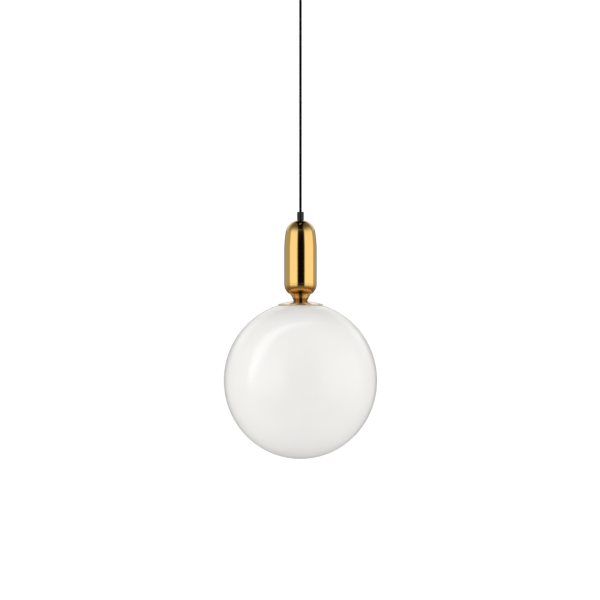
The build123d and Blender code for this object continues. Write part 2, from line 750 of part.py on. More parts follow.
with BuildPart() as bulb_base:
    ring(0, bulb_thread_radius, bulb_shell_bottom, bulb_shell_top)
    for turn_number in range(bulb_thread_turns):
        groove = bulb_shell_top - bulb_thread_pitch * (turn_number + 0.5)
        turned_groove(bulb_thread_radius, bulb_thread_depth, groove, bulb_thread_pitch / 2)
    bore = bulb_thread_radius - bulb_thread_depth - bulb_cap_wall
    ring(0, bore, bulb_shell_bottom, bulb_shell_top, Mode.SUBTRACT)

with BuildPart() as bulb_body:
    neck = bulb_neck_radius
    with BuildSketch(Plane.XZ) as horn:
        with BuildLine():
            top = (neck, bulb_shell_bottom)
            low = (bulb_body_radius, bulb_body_bottom)
            flare = bulb_body_radius - neck
            swell = (neck + bulb_body_swell * flare, bulb_shell_bottom - bulb_body_length / 2)
            ThreePointArc(top, swell, low)
            Line(low, (low[0] - bulb_wall, low[1]))
            inner_low = (low[0] - bulb_wall, low[1])
            inner_top = (neck - bulb_wall, bulb_shell_bottom - bulb_wall)
            ThreePointArc(inner_low, (swell[0] - bulb_wall, swell[1]), inner_top)
            Polyline(inner_top, (0, inner_top[1]), (0, bulb_shell_bottom), top)
        make_face()
    revolve(axis=Axis.Z)

with BuildPart() as bulb_led_board:
    board_bottom = bulb_body_bottom - board_thickness
    ring(0, bulb_body_radius - bulb_wall - seat_gap, board_bottom, bulb_body_bottom)

with BuildPart() as bulb_led_chips:
    with BuildSketch(Plane.XY.offset(board_bottom)):
        with PolarLocations(chip_circle, chip_count):
            Rectangle(chip_side, chip_side)
    extrude(amount=-chip_height)

with BuildPart() as bulb_driver:
    driver_middle = bulb_body_bottom + driver_length / 2
    with Locations((0, 0, driver_middle)):
        Box(driver_width, driver_thickness, driver_length)
    pin((0, driver_thickness / 2, driver_middle), (0, 1, 0), coil_radius, coil_height)

with BuildPart() as bulb_envelope:
    sphere_centre = bulb_bottom + envelope_radius
    for inset, mode in ((0, Mode.ADD), (envelope_wall, Mode.SUBTRACT)):
        with BuildSketch(Plane.XZ) as dome_outline:
            with BuildLine():
                mouth = (bulb_body_radius - inset, bulb_body_bottom)
                side_point = (envelope_radius - inset, sphere_centre)
                tip = (0, bulb_bottom + inset)
                shoulder_height = (sphere_centre + bulb_body_bottom) / 2
                shoulder_point = (envelope_radius - envelope_swell - inset, shoulder_height)
                ThreePointArc(mouth, shoulder_point, side_point)
                CenterArc((0, sphere_centre), envelope_radius - inset, 0, -90)
                Polyline(tip, (0, bulb_body_bottom), mouth)
            make_face()
        revolve(axis=Axis.Z, mode=mode)

# ------------------------------------------------------------------ write every piece
pieces |= {
    "ceiling_bracket": ceiling_bracket,
    "bracket_side_screws": bracket_side_screws,
    "canopy_cup": canopy_cup,
    "canopy_cord_grip": canopy_cord_grip,
    "canopy_grip_screw": canopy_grip_screw,
    "canopy_grip_nut": canopy_grip_nut,
    "terminal_plate": terminal_plate,
    "terminal_block": terminal_block,
    "terminal_clamps": terminal_clamps,
    "terminal_screws": terminal_screws,
    "block_fixing_screw": block_fixing_screw,
    "ceiling_cord_tail": ceiling_cord_tail,
    "cord_bush": cord_bush,
    "power_cord": power_cord,
    "lamp_cord_grip": lamp_cord_grip,
    "lamp_grip_screw": lamp_grip_screw,
    "lamp_cord_tail": lamp_cord_tail,
    "capsule_shell": capsule_shell,
    "capsule_base": capsule_base,
    "threaded_tube": threaded_tube,
    "foot_cone": foot_cone,
    "globe_cap": globe_cap,
    "cap_gasket": cap_gasket,
    "globe_gallery": globe_gallery,
    "gallery_washer": gallery_washer,
    "gallery_lock_nut": gallery_lock_nut,
    "glass_globe": glass_globe,
    "globe_collar": globe_collar,
    "holder_cap": holder_cap,
    "holder_skirt": holder_skirt,
    "holder_insert": holder_insert,
    "holder_screw_shell": holder_screw_shell,
    "holder_centre_contact": holder_centre_contact,
    "holder_side_contact": holder_side_contact,
    "holder_terminal_screws": holder_terminal_screws,
    "bulb_contact": bulb_contact,
    "bulb_insulator": bulb_insulator,
    "bulb_base": bulb_base,
    "bulb_body": bulb_body,
    "bulb_driver": bulb_driver,
    "bulb_led_board": bulb_led_board,
    "bulb_led_chips": bulb_led_chips,
    "bulb_envelope": bulb_envelope,
}
for label, piece in pieces.items():
    piece.part.label = label
    export_step(piece.part, f"parts/{label}.step")

print(f"ceiling bend {ceiling_bend:.2f}, ceiling mouth {ceiling_mouth:.2f}")
print(f"lamp mouth {lamp_mouth:.2f}, lamp bend {lamp_bend:.2f}")
print(f"crown {crown:.2f}, globe centre {globe_centre:.2f}, bulb {bulb_top:.2f} to {bulb_bottom:.2f}")
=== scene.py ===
# %% [markdown]
# Pendant ceiling light: an opal glass globe under a polished brass capsule, hung on a round braided
# cord from a small brass canopy. This lesson loads the engineered frame of the lamp and builds the
# surfaces that show round it. Every place and every height comes from the frame, so the two agree.

# %% Load the frame and keep its box
import json
import math

import bmesh
import bpy
from mathutils import Matrix, Vector


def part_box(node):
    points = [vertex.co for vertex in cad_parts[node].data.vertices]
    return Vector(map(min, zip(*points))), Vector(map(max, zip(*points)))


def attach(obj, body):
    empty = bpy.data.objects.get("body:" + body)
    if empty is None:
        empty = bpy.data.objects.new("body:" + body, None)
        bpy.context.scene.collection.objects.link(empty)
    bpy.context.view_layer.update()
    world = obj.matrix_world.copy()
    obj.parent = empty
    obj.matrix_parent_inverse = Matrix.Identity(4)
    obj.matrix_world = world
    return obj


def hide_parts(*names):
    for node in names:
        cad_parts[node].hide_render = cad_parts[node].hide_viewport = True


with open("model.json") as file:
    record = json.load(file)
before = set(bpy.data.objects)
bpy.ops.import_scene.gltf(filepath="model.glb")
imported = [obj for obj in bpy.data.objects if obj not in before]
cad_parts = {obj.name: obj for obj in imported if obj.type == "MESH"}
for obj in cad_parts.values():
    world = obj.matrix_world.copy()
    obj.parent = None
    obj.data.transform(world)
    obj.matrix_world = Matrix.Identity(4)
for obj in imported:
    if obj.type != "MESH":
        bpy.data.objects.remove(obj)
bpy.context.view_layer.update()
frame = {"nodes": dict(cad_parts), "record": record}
scene = bpy.context.scene
mm = 0.001

# %% [markdown]
# The camera stands level with the joint between the brass and the glass, so the lamp shows neither
# its top nor its underside. A long lens keeps the upright lines upright. The canopy is just above
# the picture, because the cord runs out of the top of it.

# %% Camera
globe_half = 153.5 * mm  # half the globe's height, which is a little more than half its width
cap_outside = 2.1 * mm  # the cap's top, above the glass
globe_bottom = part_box("glass_globe")[0].z
globe_centre = globe_bottom + globe_half
crown = globe_centre + globe_half + cap_outside
camera_distance = 3.2
picture_height = 1.176  # what the picture takes in at the lamp
eye_height = crown + 1.764 * mm
camera_shift = -0.9 * mm  # a hair to the left, so the lamp hangs just right of the middle

camera_data = bpy.data.cameras.new("camera")
camera_data.sensor_width = 36
camera_data.lens = camera_data.sensor_width * camera_distance / picture_height
camera_data.clip_end = 50
camera = bpy.data.objects.new("camera", camera_data)
camera.location = (camera_shift, -camera_distance, eye_height)
camera.rotation_euler = (math.pi / 2, 0, 0)
scene.collection.objects.link(camera)
scene.camera = camera
scene.view_settings.view_transform = "Standard"
print("camera", round(camera_data.lens, 1), "mm lens at", round(eye_height, 4))

# %% [markdown]
# Node trees, for shaders and for geometry, are easier to read when their maths is written as maths. A
# term is a number in a tree: adding or multiplying two terms makes the Math node that does it. The other
# helpers make one node each, from plain values, terms or sockets.


# %% Node helpers
class Term:
    """A number in a node tree, which adds and multiplies like a plain number."""

    def __init__(self, tree, socket):
        self.tree, self.socket = tree, socket

    def __add__(self, other):
        return maths("ADD", self, other)

    def __sub__(self, other):
        return maths("SUBTRACT", self, other)

    def __rsub__(self, other):
        return maths("SUBTRACT", other, self)

    def __mul__(self, other):
        return maths("MULTIPLY", self, other)

    def __truediv__(self, other):
        return maths("DIVIDE", self, other)

    def __rtruediv__(self, other):
        return maths("DIVIDE", other, self)


def connect(tree, value, socket):
    """Link a term or a socket to a node's input, or set the input to a plain value."""
    value = value.socket if isinstance(value, Term) else value
    if isinstance(value, bpy.types.NodeSocket):
        tree.links.new(value, socket)
    else:
        socket.default_value = value


def node(tree, kind, inputs=None, **settings):
    """Make one node, set it up, and fill its inputs."""
    made = tree.nodes.new(kind)
    for key, value in settings.items():
        setattr(made, key, value)
    for key, value in (inputs or {}).items():
        connect(tree, value, made.inputs[key])
    return made


def maths(operation, a, b=0.0):
    """One Math node, on terms and plain numbers."""
    tree = a.tree if isinstance(a, Term) else b.tree
    return Term(tree, node(tree, "ShaderNodeMath", {0: a, 1: b}, operation=operation).outputs[0])


def step(value, low, high):
    """A smooth step from 0 at low to 1 at high."""
    made = node(value.tree, "ShaderNodeMapRange", {0: value, 1: low, 2: high, 3: 0.0, 4: 1.0})
    made.interpolation_type = "SMOOTHSTEP"
    return Term(value.tree, made.outputs[0])


def xyz(tree, vector):
    """The three terms of a vector."""
    return [Term(tree, out) for out in node(tree, "ShaderNodeSeparateXYZ", {0: vector}).outputs]


def blend_colour(factor, a, b):
    """Mix two colours by a factor."""
    return node(factor.tree, "ShaderNodeMix", {0: factor, 6: a, 7: b}, data_type="RGBA").outputs[2]


def group_inputs(tree):
    """A group's inputs as terms, by name."""
    return {out.name: Term(tree, out) for out in tree.nodes.new("NodeGroupInput").outputs if out.name}


# %% [markdown]
# Polished brass shows nothing but the room round it, so the room is part of the finish. The studio is
# a soft white one: a broad light on each side, a dark gap where the camera and its stand are, a dim
# ceiling with a dark rail over the lamp, and a dim floor. Behind the lamp there is a raised panel, which
# the cap mirrors, between two dark screens. What the camera sees directly is plain white.

# %% Studio light and floor
world = bpy.data.worlds.new("studio")
world.use_nodes = True
scene.world = world
studio = world.node_tree
studio.nodes.clear()
east, north, up = xyz(studio, node(studio, "ShaderNodeTexCoord").outputs["Generated"])
compass = maths("ARCTAN2", east, north * -1.0) * (180 / math.pi)  # degrees from the camera's side


def lobe(centre, half_width, edge, level):
    """A soft-edged patch of that level over a range of compass angles."""
    off = maths("ABSOLUTE", compass - centre)
    return step(off, half_width + edge, half_width - edge) * level


wall_level, ceiling_level, floor_level, paper_level = 0.46, 0.12, 0.20, 1.03
broad_lights = maths("MAXIMUM", lobe(-52, 31, 8, 1.12), lobe(67, 38, 8, 1.12))
camera_stand = lobe(4, 24, 5, 0.99)
screens = maths("MAXIMUM", lobe(-157, 9, 4, 0.85), lobe(157, 9, 4, 0.85))
walls = maths("MAXIMUM", broad_lights, wall_level) * (1 - camera_stand) * (1 - screens)
ceiling = step(up, 0.20, 0.92)
below = step(up, -0.05, -0.60)
back_panel = step(north, 0.45, 0.80) * step(up, 0.16, 0.36) * step(up, 0.72, 0.60) * 0.62
rail = step(maths("ABSOLUTE", east), 0.36, 0.22) * step(up, 0.62, 0.74) * 0.95
level = (walls * (1 - ceiling) + ceiling * ceiling_level + back_panel) * (1 - rail)
level = level * (1 - below) + below * floor_level
seen = node(studio, "ShaderNodeLightPath").outputs["Is Camera Ray"]
room = node(studio, "ShaderNodeBackground", {"Color": (1.0, 0.985, 0.965, 1), "Strength": level})
paper = node(studio, "ShaderNodeBackground", {"Color": (1, 1, 1, 1), "Strength": paper_level})
both = node(studio, "ShaderNodeMixShader", {0: seen, 1: room.outputs[0], 2: paper.outputs[0]})
node(studio, "ShaderNodeOutputWorld", {0: both.outputs[0]})
print("studio walls ready")

# %% [markdown]
# The glass is so pale that it needs its own soft light, which the polished brass would show as bright
# panels. So a ring of soft lamps stands round the globe and is linked to the glass alone.

# %% Soft lamps for the glass
glass_only = bpy.data.collections.new("lit_glass")


def soft_lamp(name, direction, distance, size, radiance, along=(0, 0, 1)):
    """A rectangular lamp that faces the globe from a direction, its first side laid along a line."""
    data = bpy.data.lights.new(name, "AREA")
    data.shape = "RECTANGLE"
    data.size, data.size_y = size
    data.energy = radiance * math.pi * size[0] * size[1]
    outwards = Vector(direction).normalized()
    first = (Vector(along) - outwards * outwards.dot(Vector(along))).normalized()
    turned = Matrix((first, outwards.cross(first), outwards)).transposed().to_4x4()
    lamp = bpy.data.objects.new(name, data)
    lamp.matrix_world = Matrix.Translation(Vector((0, 0, globe_centre)) + outwards * distance) @ turned
    lamp.visible_camera = False
    lamp.visible_glossy = False
    lamp.light_linking.receiver_collection = glass_only
    scene.collection.objects.link(lamp)
    return lamp


lamp_places = [
    ("left", (-1.7, -1.3, 0.4), 1.62), ("right", (1.7, -1.3, 0.4), 1.40), ("back", (0, 2.1, 0.5), 1.60),
    ("front", (0, -2.1, 0.3), 1.15), ("west", (-1, 0, 0), 1.2), ("east", (1, 0, 0), 1.15),
]
for label, direction, radiance in lamp_places:
    soft_lamp(label + "_soft_lamp", direction, 2.2, (1.6, 1.6), radiance)
soft_lamp("top_soft_lamp", (0, 0, 1), 2.2, (1.6, 1.6), 2.0, along=(1, 0, 0))
soft_lamp("low_soft_lamp", (0, -0.35, -2.1), 0.85, (0.9, 0.9), 1.22, along=(1, 0, 0))

# %% [markdown]
# Glossy glass shows its lamps. A row of small ones stands in an arch over the left of the globe, broad
# in the middle and narrow at its ends, and the glass shows it as one soft crescent. Each lamp stands
# where a mirror at one spot of the glass would send the camera's line of sight.

# %% Arch of lamps
arch_spots = [(-0.635, -0.07), (-0.605, 0.10), (-0.56, 0.27), (-0.49, 0.41), (-0.40, 0.52), (-0.29, 0.61),
              (-0.13, 0.675), (0.06, 0.71), (0.25, 0.715)]
arch_widths = [0.12, 0.60, 0.85, 0.90, 0.75, 0.55, 0.38, 0.26, 0.10]
arch_distance = 2.5
arch_radiance = 1.6


def mirrored(spot):
    """The direction that a mirror ball sends a level line of sight to, from a spot on its face."""
    x, z = spot
    depth = math.sqrt(1 - x * x - z * z)
    return Vector((2 * depth * x, 1 - 2 * depth * depth, 2 * depth * z))


for index in range(len(arch_spots) - 1):
    start, end = mirrored(arch_spots[index]), mirrored(arch_spots[index + 1])
    for share in (0.25, 0.75):
        width = arch_widths[index] + (arch_widths[index + 1] - arch_widths[index]) * share
        length = (end - start).length * arch_distance / 2
        lamp = soft_lamp(f"arch_lamp_{index}_{share}", start.lerp(end, share), arch_distance,
                         (length, width), arch_radiance, along=end - start)
        lamp.visible_glossy = True
        lamp.visible_diffuse = False
print("studio ready")

# %% [markdown]
# The floor is a pale disc well below the lamp. It isn't part of the lamp, so it goes on the stage. Seen
# directly it glows a little, as a floor lit by its own lamps would, without brightening the brass.

# %% Floor
floor_radius, floor_drop, floor_glow = 2.4, 0.85, 0.42
floor_mesh = bpy.data.meshes.new("floor")
with_floor = bmesh.new()
bmesh.ops.create_circle(with_floor, cap_ends=True, radius=floor_radius, segments=128)
bmesh.ops.translate(with_floor, vec=(0, 0, globe_bottom - floor_drop), verts=with_floor.verts)
with_floor.to_mesh(floor_mesh)
with_floor.free()
floor = bpy.data.objects.new("floor", floor_mesh)
scene.collection.objects.link(floor)
pale = bpy.data.materials.new("pale_floor")
pale.use_nodes = True
pale_shader = pale.node_tree.nodes["Principled BSDF"]
pale_shader.inputs["Base Color"].default_value = (0.86, 0.86, 0.85, 1)
pale_shader.inputs["Roughness"].default_value = 0.7
pale_shader.inputs["Emission Color"].default_value = (1, 1, 1, 1)
floor_seen = Term(pale.node_tree, node(pale.node_tree, "ShaderNodeLightPath").outputs["Is Camera Ray"])
connect(pale.node_tree, floor_seen * floor_glow, pale_shader.inputs["Emission Strength"])
floor_mesh.materials.append(pale)

# %% [markdown]
# Several finishes share the same small effects: slow changes of tone, a fine grain, the marks that a
# lathe or a polishing mop leaves round a turned piece, and a little dust on what faces up. Each effect
# is a node group that is made once and placed in each material with its own sizes. All of them read
# Object coordinates, in metres, so a pattern has its real size on every piece.


# %% Shared effects
def effect(name, sizes, result):
    """Start a shader node group with named float inputs and one float output."""
    tree = bpy.data.node_groups.new(name, "ShaderNodeTree")
    for size, default in sizes.items():
        socket = tree.interface.new_socket(size, in_out="INPUT", socket_type="NodeSocketFloat")
        socket.default_value = default
    tree.interface.new_socket(result, in_out="OUTPUT", socket_type="NodeSocketFloat")
    place = node(tree, "ShaderNodeTexCoord").outputs["Object"]
    return tree, group_inputs(tree), place


def close_effect(tree, value):
    """Send the value out of the group."""
    connect(tree, value, tree.nodes.new("NodeGroupOutput").inputs[0])
    return tree


def noise(tree, place, size, detail=2.0, roughness=0.5):
    """Noise with features of about that size."""
    inputs = {"Vector": place, "Scale": 1.0 / size, "Detail": detail, "Roughness": roughness}
    return Term(tree, node(tree, "ShaderNodeTexNoise", inputs).outputs[0])


tree, given, place = effect("tone_drift", {"Patch Size": 0.03, "Contrast": 1.0}, "Tone")
drift = noise(tree, place, given["Patch Size"], 3.0)
tone_drift = close_effect(tree, (drift - 0.5) * given["Contrast"] + 0.5)

tree, given, place = effect("fine_grain", {"Grain Size": 0.0006}, "Height")
fine_grain = close_effect(tree, noise(tree, place, given["Grain Size"], 3.0, 0.6))

tree, given, place = effect("turned_marks", {"Mark Width": 0.0004}, "Height")
x, y, z = xyz(tree, place)
along = z / given["Mark Width"] + maths("SQRT", x * x + y * y) / given["Mark Width"]
turn = maths("ARCTAN2", x, y) * 0.35
ridge = node(tree, "ShaderNodeCombineXYZ", {0: along, 1: turn, 2: 0.0}).outputs[0]
turned_marks = close_effect(tree, noise(tree, ridge, 1.0, 2.0, 0.6))

tree, given, place = effect("settled_dust", {"Amount": 0.2, "Speck Size": 0.002}, "Dust")
facing = xyz(tree, node(tree, "ShaderNodeNewGeometry").outputs["Normal"])[2]
specks = step(noise(tree, place, given["Speck Size"], 4.0, 0.65), 0.42, 0.7)
settled_dust = close_effect(tree, step(facing, 0.15, 0.95) * specks * given["Amount"])

tree, given, place = effect("handling_marks", {"Mark Size": 0.012, "Amount": 0.5}, "Marks")
smear = noise(tree, place, given["Mark Size"], 5.0, 0.7)
handling_marks = close_effect(tree, step(smear, 0.48, 0.72) * given["Amount"])
print("effects", [g.name for g in bpy.data.node_groups])

# %% [markdown]
# A finish is one Principled BSDF. Its steady numbers are set on the shader's own sockets; the colour,
# the roughness and the bump vary over the surface through the shared effects. A short recipe names
# which effects a finish takes and how strong they are.


# %% A finish from a short recipe
def use(tree, group, sizes):
    """Place a shared effect in a material."""
    made = tree.nodes.new("ShaderNodeGroup")
    made.node_tree = group
    for size, value in sizes.items():
        made.inputs[size].default_value = value
    return Term(tree, made.outputs[0])


def finish_material(name, colour, roughness, metallic=0.0, tone=0.06, patch=0.03, shade=None,
                    spread=0.06, marks=0.0, mark_size=0.012, dust=0.0, grain=None, turned=None, fixed=None,
                    painted_shade_below=None):
    """Make a material; grain and turned are (size, depth) pairs of a bump in metres.

    The last argument paints shade: a darker colour the finish goes to below a height, with the height and the
    range it takes.
    """
    material = bpy.data.materials.new(name)
    material.use_nodes = True
    tree = material.node_tree
    shader = tree.nodes["Principled BSDF"]
    shader.inputs["Metallic"].default_value = metallic
    for socket, value in (fixed or {}).items():
        shader.inputs[socket].default_value = value
    darker = shade or tuple(c * (1 - 2 * tone) for c in colour)
    drift = use(tree, tone_drift, {"Patch Size": patch, "Contrast": 1.6})
    base = blend_colour(drift, (*darker, 1), (*colour, 1))
    # painted shade: below the given height the colour goes to a darker, browner brass
    if painted_shade_below:
        painted_shade_colour, height, reach = painted_shade_below
        here = xyz(tree, node(tree, "ShaderNodeTexCoord").outputs["Object"])[2]
        base = blend_colour(step(here, height + reach, height), base, (*painted_shade_colour, 1))
    rough = drift * spread + (roughness - spread / 2)
    if marks:
        rough = rough + use(tree, handling_marks, {"Mark Size": mark_size, "Amount": marks}) * 0.25
    if dust:
        laid = use(tree, settled_dust, {"Amount": dust})
        base = blend_colour(laid, base, (0.62, 0.60, 0.56, 1))
        rough = maths("MAXIMUM", rough, laid)
    connect(tree, base, shader.inputs["Base Color"])
    connect(tree, rough, shader.inputs["Roughness"])
    normal = None
    for group, sizes, key in ((fine_grain, grain, "Grain Size"), (turned_marks, turned, "Mark Width")):
        if sizes:
            height = use(tree, group, {key: sizes[0]})
            bump = node(tree, "ShaderNodeBump", {"Height": height, "Strength": 1.0, "Distance": sizes[1]})
            if normal:
                tree.links.new(normal, bump.inputs["Normal"])
            normal = bump.outputs[0]
    if normal:
        tree.links.new(normal, shader.inputs["Normal"])
    return material


# %% [markdown]
# The polished pieces are brass under a thin clear lacquer. Mirror brass keeps a faint trace of the
# mop that went round it, a slow drift of tone, and a few dull handling marks. Low on the capsule's base
# and where the foot meets the cap, the brass is painted darker and browner: painted shade. The cap is
# satin and paler. The glass is opal: white right through, fire-polished on the outside, with a trace of
# waviness from blowing. It scatters light about a millimetre deep, so it has subsurface scattering.

# %% Finishes of the outside
finishes = {}
brass = {
    "metallic": 1.0, "shade": (0.88, 0.57, 0.175), "spread": 0.02, "marks": 0.10, "mark_size": 0.02,
    "turned": (0.0006, 0.0000005), "fixed": {"Coat Weight": 0.35, "Coat Roughness": 0.06, "Coat IOR": 1.5},
}
brass_colour = (0.92, 0.615, 0.205)
finishes["polished_brass"] = finish_material("lacquered_brass", brass_colour, 0.085, patch=0.045,
                                             dust=0.02, **brass)
# painted shade: the base is painted darker low down, and the foot darkest where it meets the cap
base_brass = finish_material("base_brass", brass_colour, 0.09, patch=0.03,
                             painted_shade_below=((0.62, 0.26, 0.035), crown + 21 * mm, 14 * mm), **brass)
foot_brass = finish_material("foot_brass", brass_colour, 0.11, patch=0.03,
                             painted_shade_below=((0.28, 0.12, 0.02), crown + 3.5 * mm, 4.5 * mm), **brass)
cap_brass = finish_material(
    "satin_cap_brass", (0.93, 0.78, 0.52), 0.20, 1.0, patch=0.03, spread=0.06, marks=0.2, mark_size=0.01,
    dust=0.03, turned=(0.0006, 0.000001), fixed={"Coat Weight": 1.0, "Coat Roughness": 0.16, "Coat IOR": 1.6},
)
finishes["opal_glass"] = finish_material(
    "opal_glass", (0.93, 0.925, 0.91), 0.12, shade=(0.915, 0.91, 0.895), patch=0.06, spread=0.02,
    marks=0.05, mark_size=0.03, dust=0.015, grain=(0.045, 0.00012),
    fixed={"IOR": 1.52, "Subsurface Weight": 0.12, "Subsurface Radius": (1.0, 0.97, 0.9),
           "Subsurface Scale": 0.0012},
)
finishes["grip_nylon"] = finish_material(
    "moulded_nylon", (0.011, 0.011, 0.012), 0.36, tone=0.12, patch=0.006, spread=0.08,
    marks=0.1, dust=0.04, grain=(0.00025, 0.00002),
)
finishes["bush_rubber"] = finish_material(
    "bush_rubber", (0.022, 0.022, 0.022), 0.7, tone=0.1, patch=0.004, dust=0.05, grain=(0.0003, 0.00002),
)
finishes["gasket_silicone"] = finish_material(
    "gasket_silicone", (0.72, 0.72, 0.70), 0.55, tone=0.03, patch=0.01, dust=0.03, grain=(0.0004, 0.00001),
)

# %% [markdown]
# Behind the glass and up in the canopy are the working pieces: zinc-plated steel, spun aluminium,
# plain brass terminals, ceramic, moulded plastics and wire insulation. They show when the globe is let
# down or the canopy is lowered, so they get the same care from shorter recipes.

# %% Finishes of the inside
inside = [  # slot, name, colour, roughness, metallic, then tone, patch, spread, marks and grain
    ("zinc_steel", "zinc_plate", (0.66, 0.67, 0.69), 0.30, 1.0,
     0.10, 0.008, 0.14, 0.4, (0.0007, 6e-6)),
    ("contact_brass", "plain_brass", (0.80, 0.60, 0.27), 0.28, 1.0,
     0.10, 0.006, 0.10, 0.3, (0.0004, 4e-6)),
    ("bulb_cap_metal", "nickelled_cap", (0.78, 0.77, 0.74), 0.22, 1.0,
     0.06, 0.01, 0.08, 0.3, (0.0005, 3e-6)),
    ("terminal_nylon", "natural_nylon", (0.84, 0.82, 0.76), 0.42, 0.0,
     0.04, 0.006, 0.06, 0.0, (0.0003, 1e-5)),
    ("holder_bakelite", "black_phenolic", (0.022, 0.021, 0.020), 0.30, 0.0,
     0.15, 0.008, 0.08, 0.2, (0.0005, 1e-5)),
    ("insert_ceramic", "glazed_ceramic", (0.86, 0.84, 0.79), 0.24, 0.0,
     0.04, 0.006, 0.06, 0.0, (0.0008, 2e-5)),
    ("live_insulation", "brown_insulation", (0.20, 0.080, 0.026), 0.40, 0.0,
     0.08, 0.004, 0.06, 0.0, (0.0004, 1e-5)),
    ("neutral_insulation", "blue_insulation", (0.028, 0.14, 0.50), 0.40, 0.0,
     0.08, 0.004, 0.06, 0.0, (0.0004, 1e-5)),
    ("bulb_black_glass", "black_glass", (0.018, 0.014, 0.014), 0.16, 0.0,
     0.15, 0.004, 0.06, 0.0, (0.0008, 1e-5)),
    ("bulb_white_plastic", "white_polycarbonate", (0.86, 0.86, 0.85), 0.38, 0.0,
     0.03, 0.015, 0.06, 0.1, (0.0003, 1e-5)),
    ("led_yellow", "led_phosphor", (0.86, 0.66, 0.12), 0.45, 0.0,
     0.05, 0.001, 0.06, 0.0, (0.0002, 1e-5)),
    ("driver_green", "circuit_board", (0.035, 0.20, 0.075), 0.38, 0.0,
     0.10, 0.003, 0.06, 0.0, (0.0006, 1e-5)),
]
for slot, name, colour, roughness, metallic, tone, patch, spread, marks, grain in inside:
    finishes[slot] = finish_material(name, colour, roughness, metallic, tone=tone, patch=patch, spread=spread,
                                     marks=marks, grain=grain)
finishes["spun_aluminium"] = finish_material(
    "spun_aluminium", (0.80, 0.80, 0.81), 0.27, 1.0, tone=0.05, patch=0.02, spread=0.08, marks=0.25,
    turned=(0.0006, 0.000004),
)
finishes["bulb_opal"] = finish_material(
    "opal_polycarbonate", (0.92, 0.92, 0.90), 0.36, tone=0.015, patch=0.02, grain=(0.0005, 0.00001),
    fixed={"Subsurface Weight": 0.15, "Subsurface Radius": (1.0, 1.0, 0.95), "Subsurface Scale": 0.001},
)
print("finishes", len(finishes))

# %% [markdown]
# The cord has a textile sleeve: sixteen carriers of black yarn, eight winding each way, over and under
# each other. The braid's rule is two phases, one for each way of winding, that grow with the turn round
# the cord and the distance along it. Where the whole parts of the phases add to an even number, one way
# lies on top. The same rule is used twice: for the relief of the mesh and, finer, for the yarns in the
# material, which also has the soft sheen of cotton.

# %% Sizes of the braid
cord_radius = 2.5 * mm
braid_carriers = 8  # each way
braid_pitch = 11.0 * mm  # one carrier's full turn
braid_relief = 0.12 * mm


def braid_height(around, along):
    """The braid's height from 0 to 1, at a turn round the cord (0 to 1) and a distance along it."""
    right = (around + along / braid_pitch) * braid_carriers
    left = (around - along / braid_pitch) * braid_carriers
    hump_right = maths("ABSOLUTE", maths("SINE", right * math.pi))
    hump_left = maths("ABSOLUTE", maths("SINE", left * math.pi))
    total = maths("FLOOR", right) + maths("FLOOR", left)
    over = maths("ABSOLUTE", total - maths("FLOOR", total * 0.5) * 2.0)
    height = hump_right * over + hump_left * (1 - over)
    return height, over, right, left


# %% Braid material
braid = bpy.data.materials.new("braided_yarn")
braid.use_nodes = True
tree = braid.node_tree
shader = tree.nodes["Principled BSDF"]
x, y, z = xyz(tree, node(tree, "ShaderNodeTexCoord").outputs["Object"])
around = maths("ARCTAN2", y, x) * (0.5 / math.pi) + 0.5
height, over, right, left = braid_height(around, z)
threads = right * (1 - over) + left * over
filaments = maths("ABSOLUTE", maths("SINE", threads * (4 * math.pi)))
fuzz = use(tree, fine_grain, {"Grain Size": 0.00015})
drift = use(tree, tone_drift, {"Patch Size": 0.004, "Contrast": 1.5})
# painted shade: the yarn is darker down in the braid's hollows, by the braid's height; the filament stripes
# and the drift are the yarn's own tone
yarn_tone_and_hollow_shade = (filaments * 0.35 + 0.65) * height * drift
yarn = blend_colour(yarn_tone_and_hollow_shade, (0.0012, 0.0012, 0.0014, 1), (0.0075, 0.0075, 0.0085, 1))
connect(tree, yarn, shader.inputs["Base Color"])
connect(tree, fuzz * 0.15 + 0.78, shader.inputs["Roughness"])
relief = filaments * 0.5 + fuzz
bump = node(tree, "ShaderNodeBump", {"Height": relief, "Strength": 1.0, "Distance": 0.00005})
tree.links.new(bump.outputs[0], shader.inputs["Normal"])
shader.inputs["Specular IOR Level"].default_value = 0.1
shader.inputs["Sheen Weight"].default_value = 0.02
shader.inputs["Sheen Roughness"].default_value = 0.5
finishes["braided_cord"] = braid

# %% [markdown]
# Every node of the frame gets the finish of its material slot. The pieces that are rebuilt below hide
# their node again; the rest, mostly small works inside, show as they are.

# %% Finish the frame's own pieces
slot_of = {}
for entry in frame["record"]["subparts"]:
    slot_of[entry["node"]] = entry["material_slot"]
for name, piece in frame["nodes"].items():
    piece.data.materials.clear()
    piece.data.materials.append(finishes[slot_of[name]])
body_of = {name: body for body, names in frame["record"]["behaviour"]["bodies"].items() for name in names}
print("finished", len(slot_of), "nodes")

# %% [markdown]
# Most of this lamp is turned: spun, drawn or blown round one axis. A turned piece is an outline of
# radius and height, carried once round. The rule is a Geometry Nodes tree, so that every turned piece
# is made the same way: a grid whose columns become turns and whose rows follow the outline's points.
# The same tree can roll a thread into a wall, or raise ribs round it, by moving the radius in and out.


# %% Starting and ending a geometry tree
def geometry_tree(name, inputs):
    """A geometry tree with named inputs; gives the tree, its input terms and their identifiers."""
    tree = bpy.data.node_groups.new(name, "GeometryNodeTree")
    tree.interface.new_socket("Geometry", in_out="INPUT", socket_type="NodeSocketGeometry")
    identifiers = {}
    for label, default in {**inputs, "Material": None}.items():
        kind = {int: "Int", float: "Float"}.get(type(default), "Material")
        socket = tree.interface.new_socket(label, in_out="INPUT", socket_type="NodeSocket" + kind)
        if default is not None:
            socket.default_value = default
        identifiers[label] = socket.identifier
    tree.interface.new_socket("Geometry", in_out="OUTPUT", socket_type="NodeSocketGeometry")
    return tree, group_inputs(tree), identifiers


